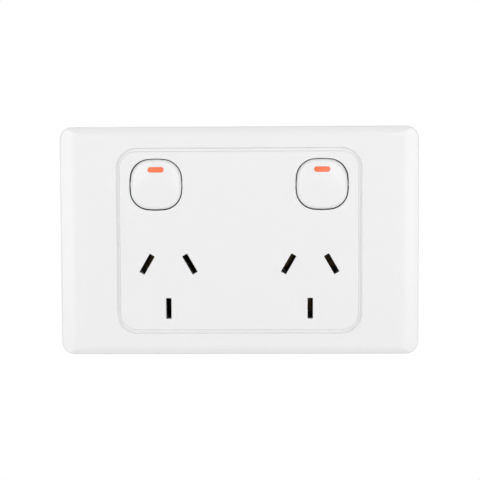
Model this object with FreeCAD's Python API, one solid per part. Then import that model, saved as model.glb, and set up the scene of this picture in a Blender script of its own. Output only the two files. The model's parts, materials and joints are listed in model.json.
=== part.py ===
import FreeCAD, Part
import math
import os

# A double wall socket with two rocker switches, for flat three-pin plugs.
# It is fixed to a wall: the wall is the plane y = 0, the front faces -Y, +Z is up and +X is to the
# viewer's right. The origin is midway between the two wall screw holes, on the wall.
# All sizes are in millimetres.

V = FreeCAD.Vector
PAST = 1.0                 # cuts run this far past the face they open
JOIN = 0.5                 # joined forms run this far into each other
NEAR = 1e-6

# Surround cover, the shell that snaps over the front plate and hides the wall screws.
PLATE_SIDE_MARGIN = 15.5   # wall screw holes to the plate's left and right edges
PLATE_END_MARGIN = 7.95    # raised panel to the plate's top and bottom edges
PLATE_PROUD = 9.0          # wall to front face
CORNER_R = 4.2
COVER_WALL = 2.0
COVER_REAR_GAP = 0.3       # the cover's rim stops this far short of the wall
SIDE_BEVEL_W = 5.1         # left and right margins slope down over this width
SIDE_BEVEL_DEG = 22.0
SIDE_BLEND_R = 11.0
END_BEVEL_W = 2.3          # top and bottom margins
END_BEVEL_DEG = 30.0
END_BLEND_R = 4.5
COVER_EDGE_R = 0.6
WINDOW_GAP = 0.1           # between the window's inner edge and the raised panel
WINDOW_STEP_W = 1.15       # sunken ledge round the window
WINDOW_STEP_DEPTH = 0.8
PRY_SLOT_W = 9.0           # notch for a screwdriver in the lower rim
PRY_SLOT_H = 1.2

# Snap hooks of the cover, two along the top and two along the bottom.
HOOK_INSET = 27.5          # from the plate's left and right edges
HOOK_W = 8.0
HOOK_REACH = 1.1
HOOK_THICK = 1.1
HOOK_SLACK = 0.2

# Front plate: a flange that lies on the wall and a raised panel with the switches and pin slots.
FLANGE_SLACK = 0.3         # between the flange and the inside of the cover
FLANGE_THICK = 2.6
FLANGE_CORNER_R = 2.4
PANEL_H = 57.2
PANEL_DROP = 0.4           # the panel's face lies this far behind the cover's face
PANEL_CORNER_R = 5.4
PANEL_EDGE_R = 0.4
PANEL_FRONT_WALL = 2.2
PANEL_SIDE_WALL = 2.0

# Wall screw holes. Their pitch sets the widths: the panel just clears the screw heads.
FIXING_PITCH = 84.0
FIXING_HOLE_R = 2.2
FIXING_HEAD_R = 3.6
FIXING_HEAD_DEPTH = 0.7
FIXING_HEAD_CLEAR = 0.25
FIXING_RIM = 1.6

# Gussets that stiffen the flange beside the panel.
GUSSET_Z = 14.0
GUSSET_LENGTH = 9.0
GUSSET_HEIGHT = 3.2
GUSSET_THICK = 1.4

# Pin slots: two slots leaning at 30 degrees over an upright earth slot.
PIN_L = 6.35
PIN_THICK = 1.63
SOCKET_INSET = 3.83        # the outlets sit this much nearer the middle than the switches
EARTH_SLOT_MARGIN = 3.6    # earth slot to the panel's lower edge
PIN_CIRCLE_R = 7.92        # socket centre to the middle of a leaning slot
EARTH_DROP = 10.31         # socket centre to the middle of the earth slot
PIN_TILT = 30.0
PIN_SLOT_PLAY_L = 0.45
PIN_SLOT_PLAY_W = 0.27
EARTH_SLOT_PLAY_L = 0.35
EARTH_SLOT_PLAY_W = 0.12
SLOT_CORNER_R = 0.25
SLOT_SHROUD_WALL = 1.0
SLOT_SHROUD_DEPTH = 2.6
DIMPLE_R = 5.3
DIMPLE_DEPTH = 0.15

# Rocker switches.
SWITCH_SIDE_INSET = 11.65  # middle of the rocker to the panel's side
SWITCH_TOP_INSET = 10.44   # pivot to the panel's top
ROCKER_W = 16.3
ROCKER_H = 16.0
ROCKER_SIDE_R = 26.0       # the four sides are bowed
ROCKER_CORNER_R = 6.0
ROCKER_GAP_X = 0.35
ROCKER_GAP_TOP = 0.2       # the upper edge moves inwards when the rocker tips
ROCKER_GAP_LOW = 0.4       # the lower edge moves outwards
ROCKER_EDGE_R = 1.2
ROCKER_PROUD = 1.1         # lower face, in front of the panel
ROCKER_TILT = 10.0         # whole travel between off and on
ROCKER_CROWN_R = 34.0      # the upper face is rounded from side to side
RIDGE_Z = 2.5              # where the two faces meet, above the pivot
ROCKER_SKIRT_WALL = 1.4
ROCKER_SKIRT_DEPTH = 1.3   # behind the pivot
ROCKER_CEILING = 1.5       # underside of the rocker's face, in front of the pivot
ROCKER_WEB = 1.2
PIVOT_DEPTH = 2.5          # behind the panel's face
PIVOT_R = 1.0
PIVOT_PLAY = 0.05
PIVOT_END_PLAY = 0.2
COLLAR_WALL = 1.5          # wall round each switch opening, notched for the pivots
COLLAR_LENGTH = 5.6        # behind the panel

# Indicator bars in the rockers.
BAR_L = 5.13
BAR_W = 1.7
BAR_Z = 4.65
BAR_THICK = 0.9
BAR_FIT = 0.03
BAR_FLAT = 0.001           # half of the straight left between the end's two arcs

# Sprung plunger in the rocker's hollow stem. Distances run along the stem from the pivot.
STEM_WALL = 0.9
STEM_BORE_R = 1.7
STEM_BORE_START = 1.0
STEM_LIP = 0.2
PLUNGER_PLAY = 0.05
PLUNGER_HEAD_L = 2.2
PLUNGER_SPIGOT_R = 0.85
PLUNGER_SPIGOT_L = 1.0
NOSE_R = 1.1
NOSE_GAP = 0.15            # nose to lever at mid travel
SPRING_ROOM = 5.2
SPRING_WIRE_R = 0.22
SPRING_PLAY = 0.12
SPRING_TURNS = 4
SPRING_STEPS = 16          # sections in each turn of the coil
SPRING_FLATS = 6           # flats round its wire
SPRING_SEAT_GAP = 0.05

# Rocking contact lever, tipped by the plunger.
LEVER_DEPTH = 6.4          # depth of its pivot behind the wall plane
LEVER_SWING = 18.0
LEVER_W = 4.4
LEVER_THICK = 0.8
LEVER_UP = 7.3
LEVER_DOWN = 5.5
LEVER_CORNER_R = 0.9
TRUNNION_R = 0.6
TRUNNION_PLAY = 0.05

# Silver contacts.
CONTACT_UP = 5.6           # along the lever, above its pivot
CONTACT_R = 1.5
CONTACT_RIM = 0.45
CONTACT_DOME_R = 4.0
CONTACT_OPEN_GAP = 0.05    # left between the contacts when closed
FIXED_CONTACT_R = 1.6
FIXED_CONTACT_THICK = 0.8

# Brass strips and bars.
STRIP_THICK = 0.8
STRIP_W = 2.8
STRIP_SIDE = 5.5           # the strip passes this far to the viewer's left of its switch
PAD_RIM = 0.05             # strip round the fixed contact
BAR_STRIP_W = 3.2
BAR_CORNER_R = 0.5
CHEEK_GAP = 0.25           # lever to cheek
CHEEK_LEAD = 0.9           # straight mouth of the cheek's notch
ACTIVE_BAR_GAP = 1.1       # active bar behind the contact strips
REAR_BAR_GAP = 1.0         # neutral and earth bars behind the active bar

# Spring jaws that grip the pins.
JAW_THICK = 0.6
JAW_INSET = 0.35           # the jaw is narrower than the pin by this much
JAW_FRONT_GAP = 0.6        # behind the slot shrouds
JAW_GRIP = 0.33            # an empty jaw is closer than the pin by this much
JAW_THROAT_BACK = 3.9      # throat behind the mouth
JAW_FLARE = 1.77           # mouth wider than the pin
JAW_ROOT_PLAY = 0.77       # root wider than the pin
JAW_BASE_RIM = 0.1
JAW_BASE_R = 0.3
JAW_BEND_R = 0.6           # inside each fold

# Wire terminals: brass blocks with a tunnel for the wire and a clamp screw from the rear.
TERMINAL_X = 7.5
TERMINAL_W = 6.4
TERMINAL_D = 6.4
TERMINAL_L = 8.0
TERMINAL_CORNER_R = 0.6
TUNNEL_R = 2.0
TUNNEL_WALL = 1.1          # in front of the tunnel
CLAMP_R = 1.45
CLAMP_PLAY = 0.05
CLAMP_SHANK = 2.2
CLAMP_HEAD_R = 2.1
CLAMP_HEAD_H = 1.3
CLAMP_SLOT = 0.6
CLAMP_ROOM = 0.05          # between the backed off screw and the tunnel
LOOP_GAP = 1.0             # spare terminal behind the active bar

# Rear housing.
HOUSING_INSET = 0.5        # behind the panel's outline
HOUSING_WALL = 1.8
HOUSING_REBATE = 0.6       # the housing's rim is let this far into the flange's back
HOUSING_REBATE_PLAY = 0.05
HOUSING_SINK = 1.55        # clamp screw heads behind the rear face
HOUSING_CORNER_R = 4.0
HOUSING_EDGE_R = 1.0
WIRE_HOLE_W = 6.4
BOSS_WALL = 1.4
BOSS_PLAY = 0.35
POST_R = 1.4
STOP_THICK = 1.8           # rest under each lever's lower end

# Screws that hold the housing to the front plate: one at the top, one in each lower corner.
SCREW_EDGE = 0.3           # pillar to the housing's outline
SCREW_R = 1.25
SCREW_PLAY = 0.05
SCREW_HOLE_R = 1.6
SCREW_HEAD_R = 2.5
SCREW_HEAD_H = 1.5
SCREW_CROSS_W = 0.5
SCREW_CROSS_REACH = 1.6
SCREW_CROSS_DEPTH = 0.9
SCREW_RECESS = 8.0
SCREW_BITE = 5.0           # thread in the front plate
SCREW_END_ROOM = 0.5       # hole beyond the screw's end
SCREW_BOSS_R = 2.6
SCREW_PILLAR_R = 3.6
RECESS_PLAY = 0.3

# Widths and places worked out from the sizes above.
PLATE_W = FIXING_PITCH + 2 * PLATE_SIDE_MARGIN
PLATE_H = PANEL_H + 2 * PLATE_END_MARGIN
PANEL_W = FIXING_PITCH - 2 * (FIXING_HEAD_R + FIXING_HEAD_CLEAR)
SWITCH_X = PANEL_W / 2 - SWITCH_SIDE_INSET
SWITCH_Z = PANEL_H / 2 - SWITCH_TOP_INSET
ROCKER_GAP_Z = (ROCKER_GAP_TOP + ROCKER_GAP_LOW) / 2
OPENING_Z = SWITCH_Z + (ROCKER_GAP_TOP - ROCKER_GAP_LOW) / 2
PIN_SLOT_L = PIN_L + PIN_SLOT_PLAY_L
PIN_SLOT_W = PIN_THICK + PIN_SLOT_PLAY_W
EARTH_SLOT_L = PIN_L + EARTH_SLOT_PLAY_L
EARTH_SLOT_W = PIN_THICK + EARTH_SLOT_PLAY_W
SOCKET_X = SWITCH_X - SOCKET_INSET
SOCKET_Z = EARTH_DROP + EARTH_SLOT_L / 2 + EARTH_SLOT_MARGIN - PANEL_H / 2
JAW_W = PIN_L - JAW_INSET
HOUSING_W = PANEL_W - 2 * HOUSING_INSET
HOUSING_H = PANEL_H - 2 * HOUSING_INSET
HOUSING_FRONT = -HOUSING_REBATE

# Depths, as y values: the front is negative.
PANEL_FACE = -(PLATE_PROUD - PANEL_DROP)
PANEL_BACK = PANEL_FACE + PANEL_FRONT_WALL
COLLAR_BACK = PANEL_BACK + COLLAR_LENGTH
PIVOT_Y = PANEL_FACE + PIVOT_DEPTH
ROCKER_FRONT = -(PIVOT_DEPTH + ROCKER_PROUD)
FLANGE_W = PLATE_W - 2 * (COVER_WALL + FLANGE_SLACK)
FLANGE_H = PLATE_H - 2 * (COVER_WALL + FLANGE_SLACK)
STEM_R = STEM_BORE_R + STEM_WALL
PLUNGER_HEAD_START = STEM_BORE_START + SPRING_ROOM
STEM_LENGTH = PLUNGER_HEAD_START + PLUNGER_HEAD_L + STEM_LIP
NOSE_TIP = LEVER_DEPTH - LEVER_THICK / 2 - PIVOT_Y - NOSE_GAP
SHROUD_BACK = PANEL_BACK + SLOT_SHROUD_DEPTH
JAW_FRONT = SHROUD_BACK + JAW_FRONT_GAP
HALF_SWING = math.radians(LEVER_SWING / 2)
DOME_CENTRE = LEVER_THICK / 2 + CONTACT_RIM - math.sqrt(CONTACT_DOME_R**2 - CONTACT_R**2)
CLOSED_REACH = (
    DOME_CENTRE * math.cos(HALF_SWING) + CONTACT_UP * math.sin(HALF_SWING) + CONTACT_DOME_R
)
CLOSED_Z = CONTACT_UP * math.cos(HALF_SWING) - DOME_CENTRE * math.sin(HALF_SWING)
FIXED_CONTACT_Y = LEVER_DEPTH + CLOSED_REACH + CONTACT_OPEN_GAP
STRIP_Y = FIXED_CONTACT_Y + FIXED_CONTACT_THICK
ACTIVE_BAR_Y = STRIP_Y + STRIP_THICK + ACTIVE_BAR_GAP
REAR_BAR_Y = ACTIVE_BAR_Y + STRIP_THICK + REAR_BAR_GAP
CHEEK_X = LEVER_W / 2 + CHEEK_GAP
CLAMP_TIP = TUNNEL_WALL + 2 * TUNNEL_R + CLAMP_ROOM
HOUSING_DEPTH = REAR_BAR_Y + STRIP_THICK + CLAMP_TIP + CLAMP_SHANK + CLAMP_HEAD_H + HOUSING_SINK
HOUSING_FLOOR = HOUSING_DEPTH - HOUSING_WALL
SIDES = {"left": -1, "right": 1}


def outline(points, radii):
    """Closed wire through the points, each corner rounded by a tangent arc."""
    if not isinstance(radii, (list, tuple)):
        radii = [radii] * len(points)
    edges, first, last = [], None, None
    for i, corner in enumerate(points):
        to_prev = (points[i - 1] - corner).normalize()
        to_next = (points[(i + 1) % len(points)] - corner).normalize()
        half = to_prev.getAngle(to_next) / 2
        run = radii[i] / math.tan(half)
        start, end = corner + to_prev * run, corner + to_next * run
        if last is not None and (start - last).Length > NEAR:
            edges.append(Part.LineSegment(last, start).toShape())
        if radii[i] > 0:
            inward = (to_prev + to_next).normalize()
            middle = corner + inward * (radii[i] / math.sin(half) - radii[i])
            edges.append(Part.Arc(start, middle, end).toShape())
        first, last = first or start, end
    if (first - last).Length > NEAR:
        edges.append(Part.LineSegment(last, first).toShape())
    return Part.Wire(edges)


def sweep(points, radii, depth):
    """Solid made by moving a rounded outline along the vector depth."""
    return Part.Face(outline(points, radii)).extrude(depth)


def flat(x0, x1, z0, z1, y):
    """Corners of an upright rectangle at depth y."""
    return [V(x0, y, z0), V(x1, y, z0), V(x1, y, z1), V(x0, y, z1)]


def slab(width, height, radius, y0, y1, x=0.0, z=0.0):
    """Upright plate with rounded corners, from depth y0 to y1."""
    corners = flat(x - width / 2, x + width / 2, z - height / 2, z + height / 2, y0)
    return sweep(corners, radius, V(0, y1 - y0, 0))


def block(x0, x1, y0, y1, z0, z1):
    """Box between two values on each axis."""
    return Part.makeBox(x1 - x0, y1 - y0, z1 - z0, V(x0, y0, z0))


def round_bar(radius, start, end):
    """Cylinder between two points."""
    along = end - start
    return Part.makeCylinder(radius, along.Length, start, along)


def post(radius, x, z, y0, y1):
    """Cylinder along Y."""
    return round_bar(radius, V(x, y0, z), V(x, y1, z))


def fused(shapes):
    """One solid from many, with no seams left in its flat faces."""
    return shapes[0].fuse(shapes[1:]).removeSplitter()


def turned(shape, degrees, centre, axis):
    """Copy of a shape turned about an axis through a point."""
    copy = shape.copy()
    copy.rotate(centre, axis, degrees)
    return copy


def moved(shape, x, y, z):
    """Copy of a shape shifted from the origin."""
    copy = shape.copy()
    copy.translate(V(x, y, z))
    return copy


def front_rim(solid, y):
    """Edges of a solid that lie wholly at depth y."""
    return [e for e in solid.Edges if all(abs(v.Y - y) < NEAR for v in e.Vertexes)]


def pin_places(side):
    """Middle and lean of the three pins of a socket."""
    x = side * SOCKET_X
    reach = PIN_CIRCLE_R * math.cos(math.radians(PIN_TILT))
    rise = PIN_CIRCLE_R * math.sin(math.radians(PIN_TILT))
    return {
        "active": (x - reach, SOCKET_Z + rise, PIN_TILT),
        "neutral": (x + reach, SOCKET_Z + rise, -PIN_TILT),
        "earth": (x, SOCKET_Z - EARTH_DROP, 0.0),
    }


def upright_slot(place, length, width, grow, radius, y0, y1):
    """Prism of a pin slot, grown all round, leaning as its pin does."""
    x, z, lean = place
    solid = slab(width + 2 * grow, length + 2 * grow, radius, y0, y1, x, z)
    return turned(solid, lean, V(x, 0, z), V(0, 1, 0))


def screw_places():
    """Middle x, z of the housing's screws."""
    inset = SCREW_PILLAR_R + SCREW_EDGE
    x, z = HOUSING_W / 2 - inset, HOUSING_H / 2 - inset
    return [(0, z), (-x, -z), (x, -z)]


def terminal_places():
    """Middle x, z of the inner end, direction of the mouth and front depth of each terminal."""
    bar_low = SWITCH_Z - BAR_STRIP_W / 2
    neutral_top = pin_places(1)["neutral"][1] + BAR_STRIP_W / 2
    earth_top = SOCKET_Z - EARTH_DROP + BAR_STRIP_W / 2
    active_front = ACTIVE_BAR_Y + STRIP_THICK
    rear_front = REAR_BAR_Y + STRIP_THICK
    lift = TERMINAL_L - BAR_STRIP_W
    return {
        "active": (-TERMINAL_X, bar_low, 1, active_front),
        "loop": (TERMINAL_X, bar_low, 1, active_front + LOOP_GAP),
        "neutral": (TERMINAL_X, neutral_top, -1, rear_front),
        "earth": (-TERMINAL_X, earth_top + lift / 2, -1, rear_front),
    }


def cover_profile(half, front, rear, bevel_w, bevel_deg, blend_r, to_point):
    """Section of the cover's outer form: flat face, soft blend, bevel and side wall."""
    drop = bevel_w * math.tan(math.radians(bevel_deg))
    shoulder = [(half - bevel_w, front), (half, front + drop), (half, rear)]
    mirror = [(-s, y) for s, y in reversed(shoulder)]
    radii = [blend_r, COVER_EDGE_R, 0, 0, COVER_EDGE_R, blend_r]
    return [to_point(s, y) for s, y in shoulder + mirror], radii


def cover_form(inset, rear):
    """Solid of the cover's outer form, drawn in by the same amount on every side."""
    half_w, half_h = PLATE_W / 2 - inset, PLATE_H / 2 - inset
    front = -PLATE_PROUD + inset
    wide, wide_radii = cover_profile(
        half_w, front, rear, SIDE_BEVEL_W, SIDE_BEVEL_DEG, SIDE_BLEND_R,
        lambda s, y: V(s, y, -half_h),
    )
    tall, tall_radii = cover_profile(
        half_h, front, rear, END_BEVEL_W, END_BEVEL_DEG, END_BLEND_R,
        lambda s, y: V(-half_w, y, s),
    )
    across = sweep(wide, wide_radii, V(0, 0, 2 * half_h))
    down = sweep(tall, tall_radii, V(2 * half_w, 0, 0))
    corners = slab(2 * half_w, 2 * half_h, CORNER_R - inset, front, rear)
    return across.common(down).common(corners)


def cover_window():
    """The window with the sunken ledge round it, as a solid to cut away."""
    grow = WINDOW_GAP + WINDOW_STEP_W
    front = -PLATE_PROUD
    hole = slab(PANEL_W + 2 * WINDOW_GAP, PANEL_H + 2 * WINDOW_GAP, PANEL_CORNER_R + WINDOW_GAP,
                front - PAST, PAST)
    ledge = slab(PANEL_W + 2 * grow, PANEL_H + 2 * grow, PANEL_CORNER_R + grow,
                 front - PAST, front + WINDOW_STEP_DEPTH)
    return hole.fuse(ledge)


def hook_places():
    """The x of the left and the right hooks."""
    reach = PLATE_W / 2 - HOOK_INSET
    return -reach, reach


def surround_cover():
    """Even-walled shell with its window, four hooks inside the rim and a notch to prise it off."""
    rear = -COVER_REAR_GAP
    shell = cover_form(0.0, rear).cut(cover_form(COVER_WALL, PAST)).cut(cover_window())
    inner = PLATE_H / 2 - COVER_WALL
    hooks = []
    for x in hook_places():
        for end in (-1, 1):
            tip, root = end * (inner - HOOK_REACH), end * (inner + COVER_WALL / 2)
            section = [V(x - HOOK_W / 2, rear, root), V(x - HOOK_W / 2, rear, end * inner),
                       V(x - HOOK_W / 2, rear - HOOK_THICK, tip),
                       V(x - HOOK_W / 2, rear - HOOK_THICK, root)]
            hooks.append(sweep(section, 0, V(HOOK_W, 0, 0)))
    pry = block(-PRY_SLOT_W / 2, PRY_SLOT_W / 2, rear - PRY_SLOT_H, PAST,
                -PLATE_H / 2 - PAST, -PLATE_H / 2 + COVER_WALL + JOIN)
    return fused([shell] + hooks).cut(pry)


def squircle(grow_x, grow_z, y0, y1, x=0.0, z=0.0):
    """Prism of the rocker's bowed outline, grown or shrunk by a gap."""
    a, b = ROCKER_W / 2 + grow_x, ROCKER_H / 2 + grow_z
    grow = min(grow_x, grow_z)
    side_r, corner_r = ROCKER_SIDE_R + grow, ROCKER_CORNER_R + grow
    side_c, top_c = a - side_r, b - side_r
    # The corner arc's centre lies at the same distance from the centres of both bowed sides.
    slope, offset = side_c / top_c, (top_c**2 - side_c**2) / (2 * top_c)
    reach = side_r - corner_r
    qa, qb = 1 + slope**2, 2 * (slope * offset - side_c)
    qc = side_c**2 + offset**2 - reach**2
    cx = (-qb + math.sqrt(qb**2 - 4 * qa * qc)) / (2 * qa)
    cz = slope * cx + offset
    to_side, to_top = V(cx - side_c, 0, cz) / reach, V(cx, 0, cz - top_c) / reach
    centre = V(cx, 0, cz)
    low, high = centre + to_side * corner_r, centre + to_top * corner_r
    middle = centre + (to_side + to_top).normalize() * corner_r
    quarter = [low, middle, high]
    flip = [(1, 1), (-1, 1), (-1, -1), (1, -1)]
    runs = [[V(p.x * sx, 0, p.z * sz) for p in quarter] for sx, sz in flip]
    for i in (1, 3):
        runs[i].reverse()
    crowns = [V(0, 0, b), V(-a, 0, 0), V(0, 0, -b), V(a, 0, 0)]
    edges = []
    for i, run in enumerate(runs):
        edges.append(Part.Arc(*run).toShape())
        edges.append(Part.Arc(run[2], crowns[i], runs[(i + 1) % 4][0]).toShape())
    face = Part.Face(Part.Wire(edges))
    return moved(face.extrude(V(0, y1 - y0, 0)), x, y0, z)


def front_plate():
    """Flange and hollow raised panel in one, with collars, slot shrouds, bosses and gussets."""
    flange = slab(FLANGE_W, FLANGE_H, FLANGE_CORNER_R, -FLANGE_THICK, 0)
    panel = slab(PANEL_W, PANEL_H, PANEL_CORNER_R, PANEL_FACE, 0)
    panel = panel.makeFillet(PANEL_EDGE_R, front_rim(panel, PANEL_FACE))
    cavity = slab(PANEL_W - 2 * PANEL_SIDE_WALL, PANEL_H - 2 * PANEL_SIDE_WALL,
                  PANEL_CORNER_R - PANEL_SIDE_WALL, PANEL_BACK, PAST)
    shell = flange.fuse(panel).cut(cavity)
    root = PANEL_BACK - JOIN
    added, removed = gussets(), hook_pockets()
    for side in SIDES.values():
        opening = (side * SWITCH_X, OPENING_Z)
        collar = squircle(ROCKER_GAP_X + COLLAR_WALL, ROCKER_GAP_Z + COLLAR_WALL, root,
                          COLLAR_BACK, *opening)
        added.append(collar.common(panel))
        removed.append(squircle(ROCKER_GAP_X, ROCKER_GAP_Z, PANEL_FACE - PAST, COLLAR_BACK + PAST, *opening))
        removed.append(pivot_notches(side * SWITCH_X))
        for name, place in pin_places(side).items():
            length, width = (EARTH_SLOT_L, EARTH_SLOT_W) if name == "earth" else (PIN_SLOT_L, PIN_SLOT_W)
            added.append(upright_slot(place, length, width, SLOT_SHROUD_WALL, SLOT_SHROUD_WALL,
                                      root, SHROUD_BACK))
            removed.append(upright_slot(place, length, width, 0, SLOT_CORNER_R,
                                        PANEL_FACE - PAST, SHROUD_BACK + PAST))
        removed.append(dimple(*pin_places(side)["earth"][:2]))
    for x, z in screw_places():
        added.append(post(SCREW_BOSS_R, x, z, root, HOUSING_FRONT))
        removed.append(post(SCREW_R + SCREW_PLAY, x, z, -SCREW_BITE - SCREW_END_ROOM, PAST))
    for side in (-1, 1):
        x = side * FIXING_PITCH / 2
        head_seat = -FLANGE_THICK
        added.append(post(FIXING_HEAD_R + FIXING_RIM, x, 0, head_seat - FIXING_HEAD_DEPTH, head_seat + JOIN))
        removed.append(post(FIXING_HEAD_R, x, 0, head_seat - FIXING_HEAD_DEPTH - PAST, head_seat))
        removed.append(post(FIXING_HOLE_R, x, 0, -PLATE_PROUD, PAST))
    play = HOUSING_REBATE_PLAY
    removed.append(slab(HOUSING_W + 2 * play, HOUSING_H + 2 * play, HOUSING_CORNER_R + play,
                        HOUSING_FRONT, PAST))
    return fused([shell] + added).cut(removed)


def pivot_notches(x):
    """Round-ended notches in the collar, open to the rear, that take the rocker's pivots."""
    radius = PIVOT_R + PIVOT_PLAY
    reach = ROCKER_W / 2 + ROCKER_GAP_X + COLLAR_WALL + PAST
    hole = round_bar(radius, V(x - reach, PIVOT_Y, SWITCH_Z), V(x + reach, PIVOT_Y, SWITCH_Z))
    mouth = block(x - reach, x + reach, PIVOT_Y, COLLAR_BACK + PAST, SWITCH_Z - radius, SWITCH_Z + radius)
    return hole.fuse(mouth)


def dimple(x, z):
    """Shallow dish round the earth slot."""
    radius = (DIMPLE_R**2 + DIMPLE_DEPTH**2) / (2 * DIMPLE_DEPTH)
    ball = Part.makeSphere(radius, V(x, PANEL_FACE + DIMPLE_DEPTH - radius, z))
    return ball.common(post(DIMPLE_R + PAST, x, z, PANEL_FACE - PAST, PANEL_FACE + PAST))


def gussets():
    """Four upright triangles between the flange and the panel's sides."""
    ribs = []
    for side in (-1, 1):
        for z in (-GUSSET_Z, GUSSET_Z):
            foot = side * (PANEL_W / 2 - PANEL_SIDE_WALL / 2)
            tip = side * (PANEL_W / 2 + GUSSET_LENGTH)
            base = -FLANGE_THICK + JOIN
            section = [V(foot, base, z - GUSSET_THICK / 2), V(tip, base, z - GUSSET_THICK / 2),
                       V(foot, base - GUSSET_HEIGHT, z - GUSSET_THICK / 2)]
            ribs.append(sweep(section, 0, V(0, 0, GUSSET_THICK)))
    return ribs


def hook_pockets():
    """Recesses behind the flange's rim, where the cover's hooks catch."""
    depth = HOOK_THICK + COVER_REAR_GAP + HOOK_SLACK
    reach = HOOK_REACH - FLANGE_SLACK + HOOK_SLACK
    pockets = []
    for x in hook_places():
        for end in (-1, 1):
            rim = end * FLANGE_H / 2
            low, high = sorted((rim + end * PAST, rim - end * reach))
            pockets.append(block(x - HOOK_W / 2 - HOOK_SLACK, x + HOOK_W / 2 + HOOK_SLACK,
                                 -depth, PAST, low, high))
    return pockets


def rear_housing():
    """Open box with pillars for its screws, bosses for the clamp screws, wire holes and posts."""
    body = slab(HOUSING_W, HOUSING_H, HOUSING_CORNER_R, HOUSING_FRONT, HOUSING_DEPTH)
    body = body.makeFillet(HOUSING_EDGE_R, front_rim(body, HOUSING_DEPTH))
    cavity = slab(HOUSING_W - 2 * HOUSING_WALL, HOUSING_H - 2 * HOUSING_WALL,
                  HOUSING_CORNER_R - HOUSING_WALL, HOUSING_FRONT - PAST, HOUSING_FLOOR)
    shell = body.cut(cavity)
    added, removed = bar_posts() + lever_stops(), []
    inside = slab(HOUSING_W - HOUSING_WALL, HOUSING_H - HOUSING_WALL, HOUSING_CORNER_R - HOUSING_WALL / 2,
                  HOUSING_FRONT, HOUSING_DEPTH - HOUSING_WALL / 2)
    for x, z in screw_places():
        added.append(post(SCREW_PILLAR_R, x, z, HOUSING_FRONT, HOUSING_DEPTH).common(inside))
        removed.append(post(SCREW_HOLE_R, x, z, HOUSING_FRONT - PAST, HOUSING_DEPTH))
        removed.append(post(SCREW_HEAD_R + RECESS_PLAY, x, z, HOUSING_DEPTH - SCREW_RECESS,
                            HOUSING_DEPTH + PAST))
    for x, z, mouth, front in terminal_places().values():
        middle = z + mouth * TERMINAL_L / 2
        hole = CLAMP_HEAD_R + BOSS_PLAY
        added.append(post(hole + BOSS_WALL, x, middle, front + TERMINAL_D, HOUSING_FLOOR + JOIN))
        removed.append(post(hole, x, middle, front, HOUSING_DEPTH + PAST))
        wire_y = front + TUNNEL_WALL + TUNNEL_R
        wall = mouth * (HOUSING_H / 2)
        half = WIRE_HOLE_W / 2
        low, high = sorted((wall - mouth * 2 * HOUSING_WALL, wall + mouth * PAST))
        removed.append(block(x - half, x + half, wire_y - half, wire_y + half, low, high))
    return fused([shell] + added).cut(removed)


def bar_posts():
    """Posts that stand on the housing's floor and carry the strips and bars."""
    strip_back = STRIP_Y + STRIP_THICK
    active_back = ACTIVE_BAR_Y + STRIP_THICK
    rear_back = REAR_BAR_Y + STRIP_THICK
    places = []
    for side in SIDES.values():
        x = side * SWITCH_X
        pins = pin_places(side)
        places.append((x, SWITCH_Z + CLOSED_Z, strip_back))
        places.append((x - STRIP_SIDE, (SWITCH_Z + pins["active"][1]) / 2, strip_back))
        places.append((x / 2, SWITCH_Z, active_back))
        places.append((*pins["neutral"][:2], rear_back))
        places.append((*pins["earth"][:2], rear_back))
    return [post(POST_R, x, z, y, HOUSING_FLOOR + JOIN) for x, z, y in places]


def lever_stops():
    """Rests for the lower end of each lever, which it meets when the switch is off."""
    reach = LEVER_THICK / 2 * math.cos(HALF_SWING) + LEVER_DOWN * math.sin(HALF_SWING)
    face = LEVER_DEPTH + reach + CONTACT_OPEN_GAP
    low = SWITCH_Z - LEVER_DOWN - LEVER_THICK
    return [block(side * SWITCH_X - POST_R, side * SWITCH_X + POST_R, face, HOUSING_FLOOR + JOIN,
                  low, low + STOP_THICK) for side in SIDES.values()]


def crown(grow):
    """Long cylinder that gives the rocker's upper face its slope and side to side rounding."""
    slope = math.radians(ROCKER_TILT)
    inward = V(0, math.cos(slope), -math.sin(slope))
    along = V(0, math.sin(slope), math.cos(slope))
    centre = V(0, ROCKER_FRONT, RIDGE_Z) + inward * ROCKER_CROWN_R
    return round_bar(ROCKER_CROWN_R + grow, centre - along * ROCKER_H * 2, centre + along * ROCKER_H * 2)


def stadium(grow, depth):
    """The indicator bar's prism, square to the rocker's upper face."""
    slope = math.radians(ROCKER_TILT)
    bar = slab(BAR_L + 2 * grow, BAR_W + 2 * grow, BAR_W / 2 + grow - BAR_FLAT, -PAST, depth)
    bar = turned(bar, -ROCKER_TILT, V(0, 0, 0), V(1, 0, 0))
    return moved(bar, 0, ROCKER_FRONT + (BAR_Z - RIDGE_Z) * math.tan(slope), BAR_Z)


def rounded_front(solid, radius):
    """The solid with its front outline rounded over."""
    front = min(solid.Faces, key=lambda f: f.CenterOfMass.y)
    return solid.makeFillet(radius, front.Edges)


def along_stem(shape):
    """Turns a shape built along +Z into the stem's direction with the switch off."""
    return turned(shape, -90 - ROCKER_TILT / 2, V(0, 0, 0), V(1, 0, 0))


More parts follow.
